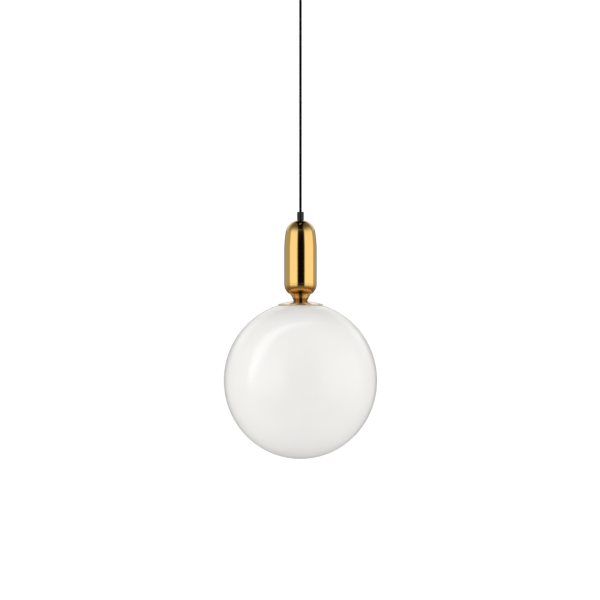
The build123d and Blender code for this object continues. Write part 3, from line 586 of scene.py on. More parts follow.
def close_tree(tree, geometry, material):
    """End a geometry tree with real faces and their material."""
    real = node(tree, "GeometryNodeRealizeInstances", {"Geometry": geometry})
    coloured = node(tree, "GeometryNodeSetMaterial", {"Geometry": real.outputs[0], "Material": material})
    connect(tree, coloured.outputs[0], tree.nodes.new("NodeGroupOutput").inputs[0])


# %% A tree that turns an outline
turning, given, turning_inputs = geometry_tree("turned_piece", {
    "Columns": 192, "Points": 8, "Crease": 0.6,
    "Wave From": 0.0, "Wave To": 0.0, "Wave Fade": 0.001, "Wave Inner": 0.0,
    "Thread Pitch": 0.001, "Thread Depth": 0.0, "Rib Count": 1, "Rib Depth": 0.0,
})
full_turn = 2 * math.pi
grid = node(turning, "GeometryNodeMeshGrid", {
    "Size X": 1.0, "Size Y": 1.0, "Vertices X": given["Columns"] + 1.0, "Vertices Y": given["Points"] + 1.0,
})
grid_x, grid_y, _ = xyz(turning, node(turning, "GeometryNodeInputPosition").outputs[0])
column = maths("ROUND", (grid_x + 0.5) * given["Columns"])
row = maths("MODULO", maths("ROUND", (grid_y + 0.5) * given["Points"]), given["Points"])
share = maths("MODULO", column, given["Columns"]) / given["Columns"]
outline_point = node(turning, "GeometryNodeSampleIndex", {"Geometry": given["Geometry"]},
                     data_type="FLOAT_VECTOR", domain="POINT")
connect(turning, node(turning, "GeometryNodeInputPosition").outputs[0], outline_point.inputs["Value"])
connect(turning, row, outline_point.inputs["Index"])
radius, _, height = xyz(turning, outline_point.outputs[0])

# the waves: how strong they are at this height, then a thread and ribs, both cut inwards
rise = step(height, given["Wave From"], given["Wave From"] + given["Wave Fade"])
fall = step(height, given["Wave To"], given["Wave To"] - given["Wave Fade"])
strength = rise * fall * maths("GREATER_THAN", radius, given["Wave Inner"])
thread_wave = maths("COSINE", (height / given["Thread Pitch"] + share) * full_turn) * 0.5 - 0.5
rib_wave = maths("COSINE", share * given["Rib Count"] * full_turn) * 0.5 - 0.5
thread, rib = thread_wave * given["Thread Depth"], rib_wave * given["Rib Depth"]
reach = radius + (thread + rib) * strength
angle = share * full_turn
spot = node(turning, "ShaderNodeCombineXYZ", {
    0: reach * maths("COSINE", angle), 1: reach * maths("SINE", angle), 2: height,
}).outputs[0]
turned = node(turning, "GeometryNodeSetPosition", {"Geometry": grid.outputs["Mesh"], "Position": spot})
closed = node(turning, "GeometryNodeMergeByDistance", {"Geometry": turned.outputs[0], "Distance": 2e-6})
smooth = node(turning, "GeometryNodeSetShadeSmooth", {"Geometry": closed.outputs[0], "Shade Smooth": True})
bend = Term(turning, node(turning, "GeometryNodeInputMeshEdgeAngle").outputs[0])
sharp = maths("GREATER_THAN", bend, given["Crease"])
creased = node(turning, "GeometryNodeSetShadeSmooth", {
    "Geometry": smooth.outputs[0], "Selection": sharp, "Shade Smooth": False,
}, domain="EDGE")
close_tree(turning, creased.outputs[0], given["Material"])
print("turning tree", len(turning.nodes), "nodes")

# %% [markdown]
# An outline is easiest to write as a drawing's corners: a radius, a height, and where it matters the
# size of the rounding. This helper turns such corners into points, with each rounded corner as an arc.


# %% Outlines
def rounded(corners, steps=6):
    """Points of a closed outline; a corner is (radius, height) or (radius, height, rounding)."""
    points = []
    count = len(corners)
    for index, corner in enumerate(corners):
        spot = Vector(corner[:2])
        if len(corner) < 3:
            points.append(tuple(spot))
            continue
        before = (Vector(corners[index - 1][:2]) - spot).normalized()
        after = (Vector(corners[(index + 1) % count][:2]) - spot).normalized()
        half = before.angle(after) / 2
        run = corner[2] / math.tan(half)
        start, end = spot + before * run, spot + after * run
        centre = spot + (before + after).normalized() * (corner[2] / math.sin(half))
        a, b = start - centre, end - centre
        sweep = a.angle_signed(b)
        for k in range(steps + 1):
            turned_by = Matrix.Rotation(-sweep * k / steps, 2)
            points.append(tuple(centre + turned_by @ a))
    return points


def arc(centre, size, start, end, steps):
    """Points on an arc, its angles in degrees from straight outwards."""
    spots = []
    for k in range(steps + 1):
        a = math.radians(start + (end - start) * k / steps)
        spots.append((centre[0] + size * math.cos(a), centre[1] + size * math.sin(a)))
    return spots


# %% [markdown]
# The frame knows where each piece sits, so a turned piece asks it for its width and its two ends. The
# tree is a modifier only until the shape is settled: then the evaluated mesh takes its place, with its
# faces pointing outwards, and the piece rides on its body and stands for its node.


# %% From an outline to a piece
def span(name):
    """A turned node's outer radius, lowest and highest point."""
    low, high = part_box(name)
    return high.x, low.z, high.z


def settle(piece):
    """Make what the modifiers show a plain mesh, with its faces pointing outwards."""
    bpy.context.view_layer.update()
    shown = piece.evaluated_get(bpy.context.evaluated_depsgraph_get())
    mesh = bpy.data.meshes.new_from_object(shown)
    piece.modifiers.clear()
    old = piece.data
    piece.data = mesh
    if not old.users:
        bpy.data.meshes.remove(old)
    shape = bmesh.new()
    shape.from_mesh(mesh)
    if shape.calc_volume(signed=True) < 0:
        bmesh.ops.reverse_faces(shape, faces=shape.faces)
    wires = [e for e in shape.edges if e.is_wire]
    bmesh.ops.delete(shape, geom=wires, context="EDGES")
    loose = sum(1 for e in shape.edges if not e.is_manifold)
    shape.to_mesh(mesh)
    shape.free()
    mesh.name = piece.name
    return loose


def put_on(piece, body, slot, *nodes):
    """The piece rides on its body and stands for its nodes; slot is not used."""
    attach(piece, body)
    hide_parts(*nodes)
    return piece


def set_inputs(piece, tree, inputs, values):
    """Give an object the tree as a modifier and set its inputs by their identifiers."""
    modifier = piece.modifiers.new(tree.name, "NODES")
    modifier.node_group = tree
    for name, value in values.items():
        modifier[inputs[name]] = value
    return modifier


def turned_shape(name, corners, finish, columns=192, crease=0.6, **waves):
    """An object turned from an outline in metres, as a plain mesh."""
    mesh = bpy.data.meshes.new(name)
    mesh.from_pydata([(r, 0, z) for r, z in corners], [], [])
    piece = bpy.data.objects.new(name, mesh)
    scene.collection.objects.link(piece)
    values = {"Columns": columns, "Points": len(corners), "Crease": crease, "Material": finish}
    values.update({key.replace("_", " ").title(): value for key, value in waves.items()})
    set_inputs(piece, turning, turning_inputs, values)
    loose = settle(piece)
    print(name, len(piece.data.polygons), "faces", "open edges" if loose else "closed", loose or "")
    return piece


def turned_piece(node_name, corners, columns=192, crease=0.6, finish=None, **waves):
    """A turned piece that stands for one node of the frame."""
    slot = slot_of[node_name]
    piece = turned_shape("turned_" + node_name, corners, finish or finishes[slot], columns, crease, **waves)
    return put_on(piece, body_of[node_name], slot, node_name)


# %% [markdown]
# The capsule is drawn brass tube, spun in to a dome at the top. Its side is straight, then a very long
# arc leans in, and a tighter arc closes the dome. The base is a separate pressing that plugs into the
# tube, and the hairline between them is where the capsule opens. Their edges are broken by a fraction
# of a millimetre, which is what catches the light.

# %% Capsule sizes
wall = 1.2 * mm
bore = 5.1 * mm
broken_edge = 0.22 * mm
capsule_radius, shell_bottom, capsule_top = span("capsule_shell")
dome_radius = capsule_radius - 2.45 * mm
flank_radius = 239.4 * mm
flat_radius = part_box("lamp_cord_grip")[1].x + 0.35 * mm
flank_angle = math.degrees(math.acos((flank_radius - capsule_radius) / (flank_radius - dome_radius)))
dome_centre = capsule_top - math.sqrt(dome_radius**2 - flat_radius**2)
flank_foot = dome_centre - (flank_radius - dome_radius) * math.sin(math.radians(flank_angle))
flank_centre = (capsule_radius - flank_radius, flank_foot)
print("flank", round(flank_angle, 2), "degrees")

# %% Capsule shell
top_angle = math.degrees(math.acos(flat_radius / dome_radius))
inner_top = math.degrees(math.acos(bore / (dome_radius - wall)))
outside = arc(flank_centre, flank_radius, 0, flank_angle, 24)[1:]
outside += arc((0, dome_centre), dome_radius, flank_angle, top_angle, 40)[1:]
inside = arc((0, dome_centre), dome_radius - wall, inner_top, flank_angle, 20)
inside += arc(flank_centre, flank_radius - wall, flank_angle, 0, 10)[1:]
upright = [(capsule_radius, shell_bottom + k / 6 * (flank_foot - shell_bottom)) for k in range(1, 7)]
inner_foot = (capsule_radius - wall, shell_bottom)
edge = rounded([inner_foot, (capsule_radius, shell_bottom, broken_edge), upright[0]])[1:-1]
shell = [inner_foot] + edge + upright + outside + [(bore, capsule_top)] + inside
turned_piece("capsule_shell", shell, columns=224)

# %% Capsule base
_, base_bottom, spigot_top = span("capsule_base")
hairline, fit_gap, ledge = 0.15 * mm, 0.1 * mm, 3.0 * mm
seam_height = shell_bottom - hairline
shoulder = 25.0 * mm
top_bend, ledge_bend = -0.5, -12  # degrees on the shoulder's arcs
shoulder_angle = math.degrees(math.asin((seam_height - base_bottom) / shoulder))
shoulder_centre = (capsule_radius - shoulder, seam_height)
spigot = capsule_radius - wall - fit_gap
base = [(bore, base_bottom)]
base += arc(shoulder_centre, shoulder, -shoulder_angle, top_bend, 40)
base += [(capsule_radius - fit_gap, seam_height), (spigot, seam_height), (spigot, spigot_top)]
base += [(spigot - wall, spigot_top), (spigot - wall, seam_height - ledge)]
base += arc(shoulder_centre, shoulder - 2 * wall, ledge_bend, -shoulder_angle, 20)
base += [(bore, base[-1][1])]
turned_piece("capsule_base", base, columns=224, finish=base_brass)

# %% [markdown]
# Under the capsule a small foot narrows, slightly hollow, to the crown of the globe, and a thin dished
# cap spreads the load over the glass. Both follow the globe's own curve, so one helper gives the height
# of any surface that lies a set distance outside the glass.

# %% The globe's curve
globe_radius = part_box("glass_globe")[1].x
cap_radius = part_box("globe_cap")[1].x
cap_thickness = 1.0 * mm
mouth_radius = cap_radius - 6.5 * mm


def over_glass(radius, outside):
    """The height of the surface that far outside the glass, at a radius."""
    return globe_centre + (globe_half + outside) * math.sqrt(1 - (radius / (globe_radius + outside)) ** 2)


def dish(start, end, outside, steps):
    """Points along that surface, from one radius to another."""
    radii = [start + (end - start) * k / steps for k in range(steps + 1)]
    return [(r, over_glass(r, outside)) for r in radii]


print("glass mouth", round(over_glass(mouth_radius, 0) / mm, 2), "mm")

# %% Foot and cap
foot_radius, _, foot_top = span("foot_cone")
foot_base = 13.4 * mm
foot_edge = 0.8 * mm
foot_waist = 0.9 * mm
low_point, high_point = Vector((foot_base, crown - foot_edge)), Vector((foot_radius, foot_top))
flank = []
for k in range(25):
    t = k / 24
    spot = high_point.lerp(low_point, t)
    flank.append((spot.x - foot_waist * 4 * t * (1 - t), spot.y))
foot = [(bore, foot_top)] + flank + dish(foot_base, bore, cap_outside, 8)[1:]
turned_piece("foot_cone", foot, finish=foot_brass)

rim_start = cap_radius - 0.3 * mm
rim_shoulder = cap_radius - 0.08 * mm
cap = dish(bore, rim_start, cap_outside, 32)
rim_top, rim_low = cap[-1][1], over_glass(rim_start, cap_outside - cap_thickness)
cap += [(rim_shoulder, rim_top - 0.16 * mm), (cap_radius, rim_top - 0.40 * mm)]
cap += [(cap_radius, rim_low + 0.30 * mm), (rim_shoulder, rim_low + 0.08 * mm)]
cap += dish(rim_start, bore, cap_outside - cap_thickness, 32)
turned_piece("globe_cap", cap, columns=224, finish=cap_brass)

# %% [markdown]
# The globe is the lamp's main piece, and its shape follows a rule: it is blown a little taller than it
# is wide, so both its faces are ellipses. The mouth turns in to a short neck that the collar grips, and
# its lip is rounded by fire-polishing.

# %% Glass globe
glass = 2.4 * mm
neck_bottom = over_glass(mouth_radius, 0) - 12.0 * mm


def ellipse(half_width, half_height, start, end, steps):
    """Points on an ellipse about the globe's centre, by the angle of its circle."""
    spots = []
    for k in range(steps + 1):
        a = math.radians(start + (end - start) * k / steps)
        spots.append((half_width * math.cos(a), globe_centre + half_height * math.sin(a)))
    return spots


lip = 1.6 * mm
neck_edge = 0.9 * mm
outer_turn, inner_turn = mouth_radius + 3.0 * mm, mouth_radius + glass + 2.6 * mm  # where the face turns in
outer_stop = math.degrees(math.acos(outer_turn / globe_radius))
inner_stop = math.degrees(math.acos(inner_turn / (globe_radius - glass)))
shell = ellipse(globe_radius, globe_half, -90, outer_stop, 150)
shell[0] = (0.0, globe_bottom)
mouth_corner = (mouth_radius, over_glass(mouth_radius, 0))
neck = rounded([
    shell[-1],
    (*mouth_corner, lip),
    (mouth_radius, neck_bottom, neck_edge),
    (mouth_radius + glass, neck_bottom, neck_edge),
    (mouth_radius + glass, over_glass(mouth_radius + glass, -glass), lip),
    ellipse(globe_radius - glass, globe_half - glass, inner_stop, 0, 1)[0],
], steps=8)
shell += neck[1:-1]
inner = ellipse(globe_radius - glass, globe_half - glass, inner_stop, -90, 90)
inner[-1] = (0.0, globe_bottom + glass)
globe = turned_piece("glass_globe", shell + inner, columns=288, crease=0.9)
glass_only.objects.link(globe)

# %% [markdown]
# The canopy is a pressed brass cup with a well-rounded edge. Two screws from the sides hold it up on
# the bracket, each in a slot that opens at the rim, so the cup is turned first and the slots are cut
# out of it afterwards.


# %% Cutting with a prism
def cut_away(piece, tools):
    """Take the tools' shapes out of a piece."""
    for tool in tools:
        modifier = piece.modifiers.new("cut", "BOOLEAN")
        modifier.object = tool
        modifier.operation = "DIFFERENCE"
        modifier.solver = "EXACT"
    settle(piece)
    for tool in tools:
        bpy.data.objects.remove(tool)


def prism(name, outline, axis, start, end):
    """A straight prism with an outline of two-number corners, along X, Y or Z."""
    shape = bmesh.new()
    rings = []
    for along in (start, end):
        ring = []
        for a, b in outline:
            spot = {"X": (along, a, b), "Y": (a, along, b), "Z": (a, b, along)}[axis]
            ring.append(shape.verts.new(spot))
        rings.append(ring)
    shape.faces.new(rings[0])
    shape.faces.new(list(reversed(rings[1])))
    count = len(outline)
    for k in range(count):
        shape.faces.new([rings[0][k], rings[1][k], rings[1][(k + 1) % count], rings[0][(k + 1) % count]])
    bmesh.ops.recalc_face_normals(shape, faces=shape.faces)
    mesh = bpy.data.meshes.new(name)
    shape.to_mesh(mesh)
    shape.free()
    piece = bpy.data.objects.new(name, mesh)
    scene.collection.objects.link(piece)
    return piece


# %% Canopy cup
canopy_radius, canopy_bottom, canopy_top = span("canopy_cup")
canopy_edge = 12.0 * mm
canopy_wall = 1.2 * mm
rolled = 0.25 * mm
inner_radius = canopy_radius - canopy_wall
cup = rounded([
    (canopy_radius, canopy_top, rolled),
    (canopy_radius, canopy_bottom, canopy_edge),
    (bore, canopy_bottom),
    (bore, canopy_bottom + canopy_wall),
    (inner_radius, canopy_bottom + canopy_wall, canopy_edge - canopy_wall),
    (inner_radius, canopy_top, rolled),
], steps=24)
canopy = turned_shape("turned_canopy_cup", cup, finishes["polished_brass"], 224)
screw_height = -8.0 * mm
slot_half = 2.3 * mm
past_rim, past_side = 1.0 * mm, 60.0 * mm
slot = arc((0, screw_height), slot_half, -180, 0, 16) + [(slot_half, past_rim), (-slot_half, past_rim)]
cut_away(canopy, [prism("slot_cutter", slot, "X", -past_side, past_side)])
put_on(canopy, "canopy", "polished_brass", "canopy_cup")
print("canopy faces", len(canopy.data.polygons))

# %% [markdown]
# The two slotted screws at the canopy's sides are turned too, round an axis that lies along X. Each is
# turned upright, with a finely knurled rim from the tree's ribs, then its mesh is laid on its side and
# the driver's slot is cut.


# %% Laying down and joining
def lay_along_x(piece, side, height):
    """Turn an upright piece's mesh so that it points outwards along X, at a height."""
    turned_over = Matrix.Translation((0, 0, height)) @ Matrix.Rotation(side * math.pi / 2, 4, "Y")
    piece.data.transform(turned_over)


def join(name, parts):
    """Join plain meshes into one piece."""
    shape = bmesh.new()
    for part in parts:
        shape.from_mesh(part.data)
    mesh = bpy.data.meshes.new(name)
    shape.to_mesh(mesh)
    shape.free()
    for material in parts[0].data.materials:
        mesh.materials.append(material)
    for part in parts:
        bpy.data.objects.remove(part)
    piece = bpy.data.objects.new(name, mesh)
    scene.collection.objects.link(piece)
    return piece


# %% Side screws
head_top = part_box("bracket_side_screws")[1].x
head_radius = 4.0 * mm
head_height = 3.0 * mm
head_crown = 0.9 * mm
shank = 2.0 * mm
tip = 38.0 * mm
slot_width, slot_depth = 0.9 * mm, 1.1 * mm
knurl = {
    "wave_from": head_top - head_height + 0.2 * mm, "wave_to": head_top - head_crown + 0.1 * mm,
    "wave_fade": 0.3 * mm, "wave_inner": head_radius - 0.1 * mm, "rib_count": 36, "rib_depth": 0.16 * mm,
}
screws = []
for side, label in ((-1, "left"), (1, "right")):
    corners = rounded([
        (0, tip), (shank - 0.3 * mm, tip), (shank, tip + 0.4 * mm), (shank, head_top - head_height),
        (head_radius, head_top - head_height, 0.25 * mm), (head_radius, head_top, head_crown), (0, head_top),
    ])
    screw = turned_shape("side_screw_" + label, corners, finishes["zinc_steel"], 144, **knurl)
    half, far = slot_width / 2, head_radius + mm
    slot = [(-half, -far), (half, -far), (half, far), (-half, far)]
    cut_away(screw, [prism("driver_slot", slot, "Z", head_top - slot_depth, head_top + mm)])
    lay_along_x(screw, side, screw_height)
    screws.append(screw)
put_on(join("side_screws", screws), "ceiling_fixing", "zinc_steel", "bracket_side_screws")

# %% [markdown]
# A black nylon grip holds the cord at each end of the visible run. The lower one stands on the capsule;
# the upper one hangs from the canopy with a rubber bush in its mouth. Both mouths flare, so that the
# cord can swing without kinking. A small set screw with a hexagon socket bites on the cord from behind.

# %% Cord grips and bush
grip_radius, ceiling_mouth, stem_top = span("canopy_cord_grip")
_, lamp_grip_low, lamp_mouth = span("lamp_cord_grip")
ceiling_bend = ceiling_mouth + 4.0 * mm
lamp_bend = lamp_mouth - 3.5 * mm
socket_radius = cord_radius + 0.3 * mm
bush_radius, _, bush_top = span("cord_bush")
close_fit, bush_gap = 0.05 * mm, 0.1 * mm
snug_cord, snug_tube = cord_radius + close_fit, 5.0 * mm + close_fit
bush_socket = bush_radius + close_fit
bush_lip = 0.3 * mm
bush_neck = bush_socket - bush_lip
stem_radius = 5.0 * mm
grip_edge, seat_edge = 1.1 * mm, 0.15 * mm
screw_hole = 1.55 * mm
hole_start, hole_end = 2.0 * mm, 9.0 * mm  # how far from the axis the hole runs
screw_play, screw_sunk = 0.06 * mm, 0.25 * mm
key_radius, key_depth = 0.85 * mm, 1.35 * mm  # the hexagon for the key


def mouth_points(bend, mouth, degrees_open):
    """The socket and its flare, from the bend to the mouth."""
    flare = abs(mouth - bend) * math.tan(math.radians(degrees_open))
    return [(socket_radius, bend), (socket_radius + flare, mouth)]


upper = rounded([
    (bush_neck, ceiling_mouth), (bush_neck, ceiling_bend), (bush_socket, ceiling_bend),
    (bush_socket, bush_top + bush_gap), (snug_cord, bush_top + bush_gap),
    (snug_cord, stem_top), (stem_radius, stem_top, 0.4 * mm), (stem_radius, canopy_bottom),
    (grip_radius, canopy_bottom, seat_edge), (grip_radius, ceiling_mouth, grip_edge),
])
stem_thread = {
    "wave_from": canopy_bottom + 1.5 * mm, "wave_to": stem_top - 0.3 * mm, "wave_fade": 0.3 * mm,
    "wave_inner": stem_radius - 0.5 * mm, "thread_pitch": 1.0 * mm, "thread_depth": 0.5 * mm,
}
upper_grip = turned_shape("turned_canopy_cord_grip", upper, finishes["grip_nylon"], 96, **stem_thread)
lamp_thread = lamp_grip_low + 6.0 * mm
socket_floor = lamp_bend - 2.8 * mm
lower = rounded([
    (snug_tube, lamp_grip_low), (grip_radius, lamp_grip_low, seat_edge),
    (grip_radius, lamp_mouth, grip_edge),
    *reversed(mouth_points(lamp_bend, lamp_mouth, 18)),
    (socket_radius, socket_floor), (snug_cord, socket_floor),
    (snug_cord, lamp_thread), (snug_tube, lamp_thread),
])
lower_grip = turned_shape("turned_lamp_cord_grip", lower, finishes["grip_nylon"], 96)
for grip, screw_node in ((upper_grip, "canopy_grip_screw"), (lower_grip, "lamp_grip_screw")):
    low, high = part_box(screw_node)
    middle = (low.z + high.z) / 2
    hole = arc((0, middle), screw_hole, 0, 345, 23)
    cut_away(grip, [prism("screw_hole", hole, "Y", hole_start, hole_end)])
    body = arc((0, middle), screw_hole - screw_play, 0, 345, 23)
    face = high.y - screw_sunk
    stud = prism("set_" + screw_node, body, "Y", low.y, face)
    stud.data.materials.append(finishes["grip_nylon"])
    hexagon = arc((0, middle), key_radius, 0, 300, 5)
    cut_away(stud, [prism("hexagon", hexagon, "Y", face - key_depth, high.y + mm)])
    put_on(stud, body_of[screw_node], "grip_nylon", screw_node)
put_on(upper_grip, "canopy", "grip_nylon", "canopy_cord_grip")
put_on(lower_grip, "lamp", "grip_nylon", "lamp_cord_grip")

bush_step = ceiling_bend + bush_gap
bush = rounded([
    *reversed(mouth_points(ceiling_bend, ceiling_mouth, 23)), (socket_radius, bush_top),
    (bush_radius, bush_top, 0.3 * mm), (bush_radius, bush_step),
    (bush_radius - bush_lip, bush_step), (bush_radius - bush_lip, ceiling_mouth, 0.2 * mm),
])
turned_piece("cord_bush", bush, 96)

# %% [markdown]
# The cord hangs dead straight, because the lamp's weight pulls it tight. Its route is a NURBS spline
# through a few points, and the textile sleeve is grown along that route by a second tree: it sweeps a
# circle along the line and raises the braid on it by the rule given above.

# %% The cord's route
cord_points = [(0, 0, -40.80), (0, 0, -70.80), (0, 0, -448.30), (0, 0, -478.30)]  # in millimetres
route = bpy.data.curves.new("cord_route", "CURVE")
route.dimensions = "3D"
spline = route.splines.new("NURBS")
spline.points.add(len(cord_points) - 1)
for point, place in zip(spline.points, cord_points):
    point.co = (*(c * mm for c in place), 1)
spline.order_u = 3
spline.use_endpoint_u = True
spline.resolution_u = 24
route_object = bpy.data.objects.new("cord_route", route)
scene.collection.objects.link(route_object)
bpy.context.view_layer.update()
line = bpy.data.meshes.new_from_object(route_object.evaluated_get(bpy.context.evaluated_depsgraph_get()))
bpy.data.objects.remove(route_object)

# %% A tree that grows the braided sleeve
sleeve, given, sleeve_inputs = geometry_tree("braided_sleeve", {
    "Radius": cord_radius, "Relief": braid_relief, "Ring Step": 0.0005, "Around": 64,
})
as_curve = node(sleeve, "GeometryNodeMeshToCurve", {"Mesh": given["Geometry"]})
even = node(sleeve, "GeometryNodeResampleCurve", {"Curve": as_curve.outputs[0], "Length": given["Ring Step"]},
            mode="LENGTH")
kept_length = node(sleeve, "GeometryNodeCaptureAttribute", {"Geometry": even.outputs[0]})
kept_length.capture_items.new("FLOAT", "Length")
connect(sleeve, node(sleeve, "GeometryNodeSplineParameter").outputs["Length"], kept_length.inputs["Length"])
circle = node(sleeve, "GeometryNodeCurvePrimitiveCircle", {
    "Resolution": given["Around"], "Radius": given["Radius"] - given["Relief"],
})
kept_turn = node(sleeve, "GeometryNodeCaptureAttribute", {"Geometry": circle.outputs["Curve"]})
kept_turn.capture_items.new("FLOAT", "Turn")
connect(sleeve, node(sleeve, "GeometryNodeSplineParameter").outputs["Factor"], kept_turn.inputs["Turn"])
tube = node(sleeve, "GeometryNodeCurveToMesh", {
    "Curve": kept_length.outputs[0], "Profile Curve": kept_turn.outputs[0], "Fill Caps": True,
})
turn_here, length_here = Term(sleeve, kept_turn.outputs["Turn"]), Term(sleeve, kept_length.outputs["Length"])
height, *_ = braid_height(turn_here, length_here)
outwards = node(sleeve, "ShaderNodeVectorMath", {0: node(sleeve, "GeometryNodeInputNormal").outputs[0]},
                operation="SCALE")
connect(sleeve, height * given["Relief"], outwards.inputs["Scale"])
raised = node(sleeve, "GeometryNodeSetPosition", {"Geometry": tube.outputs[0], "Offset": outwards.outputs[0]})
smooth = node(sleeve, "GeometryNodeSetShadeSmooth", {"Geometry": raised.outputs[0], "Shade Smooth": True})
close_tree(sleeve, smooth.outputs[0], given["Material"])

cord = bpy.data.objects.new("braided_cord", line)
scene.collection.objects.link(cord)
set_inputs(cord, sleeve, sleeve_inputs, {
    "Radius": cord_radius, "Relief": braid_relief, "Ring Step": 0.0005, "Around": 64, "Material": braid,
})
settle(cord)
put_on(cord, "cord", "braided_cord", "power_cord")
print("cord", len(cord.data.polygons), "faces")

# %% [markdown]
# Under the cap, inside the neck of the glass, a spun gallery carries the globe's collar on a rolled
# thread, and the lampholder screws on the same tube. They are seen when the globe is let down. The
# holder's skirt has grip ribs, raised by the turning tree.

# %% Globe gallery
gallery_radius, gallery_bottom, _ = span("globe_gallery")
gallery_outside = 1.0 * mm
gallery_wall = 1.5 * mm
gallery_inside = gallery_outside - gallery_wall
inner = gallery_radius - gallery_wall
bend = 1.0 * mm
bend_height = over_glass(inner, gallery_inside) - 2 * bend
gallery = dish(bore, inner - bend, gallery_inside, 16) + [(inner, bend_height + bend), (inner, bend_height)]
gallery += [(inner, bend_height + k / 40 * (gallery_bottom - bend_height)) for k in range(1, 41)]
gallery += [(gallery_radius, gallery_bottom)]
outer_reach = over_glass(gallery_radius, gallery_outside) - 0.6 * mm
gallery += [(gallery_radius, gallery_bottom + k / 80 * (outer_reach - gallery_bottom)) for k in range(1, 81)]
gallery += dish(gallery_radius - 0.5 * mm, bore, gallery_outside, 16)
gallery_thread = {
    "wave_from": gallery_bottom + 0.8 * mm, "wave_to": gallery_bottom + 14 * mm, "wave_fade": 1.0 * mm,
    "wave_inner": gallery_radius - 0.2 * mm, "thread_pitch": 3.0 * mm, "thread_depth": 0.7 * mm,
}
turned_piece("globe_gallery", gallery, 144, **gallery_thread)

# %% Holder skirt
holder_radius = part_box("holder_cap")[1].x
_, skirt_bottom, skirt_top = span("holder_skirt")
skirt_bore = holder_radius - 2.0 * mm
mouth_bore, lip = 14.9 * mm, 2.0 * mm
rib_depth = 0.7 * mm
rib_outer = holder_radius + rib_depth
plain_band, ramp = 3.6 * mm, 0.7 * mm  # at each end of the ribs
rib_top, rib_low = skirt_top - plain_band - ramp, skirt_bottom + plain_band + ramp
skirt = rounded([
    (skirt_bore, skirt_top), (holder_radius, skirt_top, 0.4 * mm),
    (holder_radius, skirt_top - plain_band), (rib_outer, rib_top),
])
skirt += [(rib_outer, rib_top + k / 12 * (rib_low - rib_top)) for k in range(1, 13)]
skirt += rounded([
    (holder_radius, skirt_bottom + plain_band), (holder_radius, skirt_bottom, 0.8 * mm),
    (mouth_bore, skirt_bottom, 0.4 * mm), (mouth_bore, skirt_bottom + lip),
    (skirt_bore, skirt_bottom + lip),
])
grip_ribs = {
    "wave_from": skirt_bottom + 3.7 * mm, "wave_to": skirt_top - 3.7 * mm, "wave_fade": 0.4 * mm,
    "wave_inner": holder_radius + 0.1 * mm, "rib_count": 24, "rib_depth": rib_depth,
}
turned_piece("holder_skirt", skirt, 240, **grip_ribs)

# %% [markdown]
# The bulb is a plain LED lamp with an E27 cap. Its thread is rolled, so the wall itself waves in and
# out; the turning tree does that when the pitch and the depth are given.

# %% Bulb cap
thread_radius, shell_low, shell_high = span("bulb_base")
rows = [(thread_radius, shell_low + k / 84 * (shell_high - shell_low)) for k in range(85)]
bulb_wall = 1.2 * mm
inner_rows = [(r - bulb_wall, z) for r, z in reversed(rows)]
bulb_thread = {
    "wave_from": shell_low + 1.2 * mm, "wave_to": shell_high - 0.6 * mm, "wave_fade": 1.5 * mm,
    "wave_inner": thread_radius - 0.2 * mm, "thread_pitch": 3.6 * mm, "thread_depth": 0.8 * mm,
}
turned_piece("bulb_base", rows + inner_rows, 144, crease=1.2, **bulb_thread)

contact_radius, contact_low, contact_high = span("bulb_contact")
contact = rounded([
    (0, contact_low), (contact_radius, contact_low, 0.3 * mm),
    (contact_radius, contact_high, 0.7 * mm), (0, contact_high),
])
turned_piece("bulb_contact", contact, 64)

insulator_radius, insulator_low, insulator_high = span("bulb_insulator")
insulator = rounded([
    (0, insulator_low), (insulator_radius, insulator_low, 0.3 * mm),
    (contact_radius + 0.2 * mm, insulator_high - 0.3 * mm, 1.0 * mm),
    (contact_radius, insulator_high), (0, insulator_high),
])
turned_piece("bulb_insulator", insulator, 96)


# %% [markdown]
# Above the cap the bulb's plastic body swells like a horn, and the opal envelope goes on from it to a
# half ball. Both walls are drawn through three points, which is all that such a gentle curve needs.


# %% Bulb body and envelope
def three_point(start, middle, end, steps):
    """Points on the smooth curve through three points."""
    spots = []
    for k in range(steps + 1):
        t = k / steps
        weights = ((1 - t) * (1 - 2 * t), 4 * t * (1 - t), t * (2 * t - 1))
        spots.append(tuple(sum(w * p[i] for w, p in zip(weights, (start, middle, end))) for i in (0, 1)))
    return spots


body_radius, body_low, body_high = span("bulb_body")
body_wall = 1.4 * mm
neck = thread_radius + 0.7 * mm
neck_inside = (neck - body_wall, body_high - body_wall)
swell, swell_height = neck + 0.42 * (body_radius - neck), (body_low + body_high) / 2
horn = three_point((neck, body_high), (swell, swell_height), (body_radius, body_low), 24)
horn += three_point((body_radius - body_wall, body_low), (swell - body_wall, swell_height), neck_inside, 16)
horn += [(0, body_high - body_wall), (0, body_high)]
turned_piece("bulb_body", horn, 160)

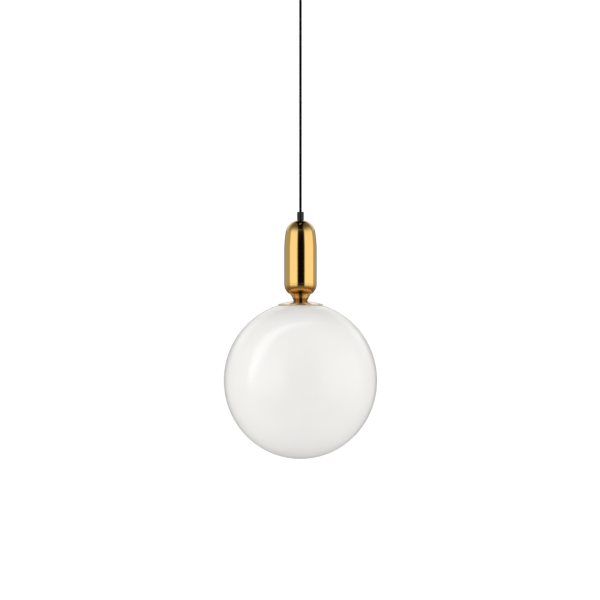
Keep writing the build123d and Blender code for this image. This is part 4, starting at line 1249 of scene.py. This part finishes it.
envelope_radius, envelope_low, _ = span("bulb_envelope")
ball_radius = 30.0 * mm
ball = envelope_low + ball_radius
shoulder, shoulder_height = 29.3 * mm, (ball + body_low) / 2
dome = three_point((body_radius, body_low), (shoulder, shoulder_height), (envelope_radius, ball), 14)
dome += arc((0, ball), ball_radius, 0, -90, 40)[1:]
dome[-1] = (0, envelope_low)
inside = arc((0, ball), ball_radius - bulb_wall, -90, 0, 24)
inside[0] = (0, envelope_low + bulb_wall)
inside += three_point((envelope_radius - bulb_wall, ball), (shoulder - bulb_wall, shoulder_height),
                      (body_radius - bulb_wall, body_low), 10)[1:]
turned_piece("bulb_envelope", dome + inside, 160)

# %% [markdown]
# The light-emitting chips stand in a ring on their board. One chip is modelled as a small block with
# its edges broken, and a third tree sets copies of it round the circle, each turned to face outwards.

# %% A tree that sets copies round a circle
circling, given, circling_inputs = geometry_tree("round_a_circle", {
    "Count": 12, "Circle Radius": 0.015, "Height": 0.0,
})
places = node(circling, "GeometryNodeMeshCircle", {
    "Vertices": given["Count"], "Radius": given["Circle Radius"],
})
each = Term(circling, node(circling, "GeometryNodeInputIndex").outputs[0])
turned_by = node(circling, "ShaderNodeCombineXYZ", {2: each / given["Count"] * full_turn})
copies = node(circling, "GeometryNodeInstanceOnPoints", {
    "Points": places.outputs[0], "Instance": given["Geometry"], "Rotation": turned_by.outputs[0],
})
lift = node(circling, "ShaderNodeCombineXYZ", {2: given["Height"]})
lifted = node(circling, "GeometryNodeTransform", {
    "Geometry": copies.outputs[0], "Translation": lift.outputs[0],
})
close_tree(circling, lifted.outputs[0], given["Material"])

# %% Light-emitting chips
chip_low, chip_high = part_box("bulb_led_chips")
chip_side, chip_edge, chip_count = 2.8 * mm, 0.15 * mm, 12
chip_ring = chip_high.x - chip_side / 2
chip_mesh = bpy.data.meshes.new("chip")
shape = bmesh.new()
bmesh.ops.create_cube(shape, size=1.0)
bmesh.ops.scale(shape, vec=(chip_side, chip_side, chip_high.z - chip_low.z), verts=shape.verts)
bmesh.ops.bevel(shape, geom=shape.edges[:], offset=chip_edge, segments=2, affect="EDGES", profile=0.5)
shape.to_mesh(chip_mesh)
shape.free()
chips = bpy.data.objects.new("led_chips", chip_mesh)
scene.collection.objects.link(chips)
set_inputs(chips, circling, circling_inputs, {
    "Count": chip_count, "Circle Radius": chip_ring, "Height": (chip_low.z + chip_high.z) / 2,
    "Material": finishes["led_yellow"],
})
settle(chips)
put_on(chips, "bulb", "led_yellow", "bulb_led_chips")
print("chips", len(chips.data.polygons), "faces")

# %% [markdown]
# Last, the scene is brought up to date.

# %% The end
bpy.context.view_layer.update()
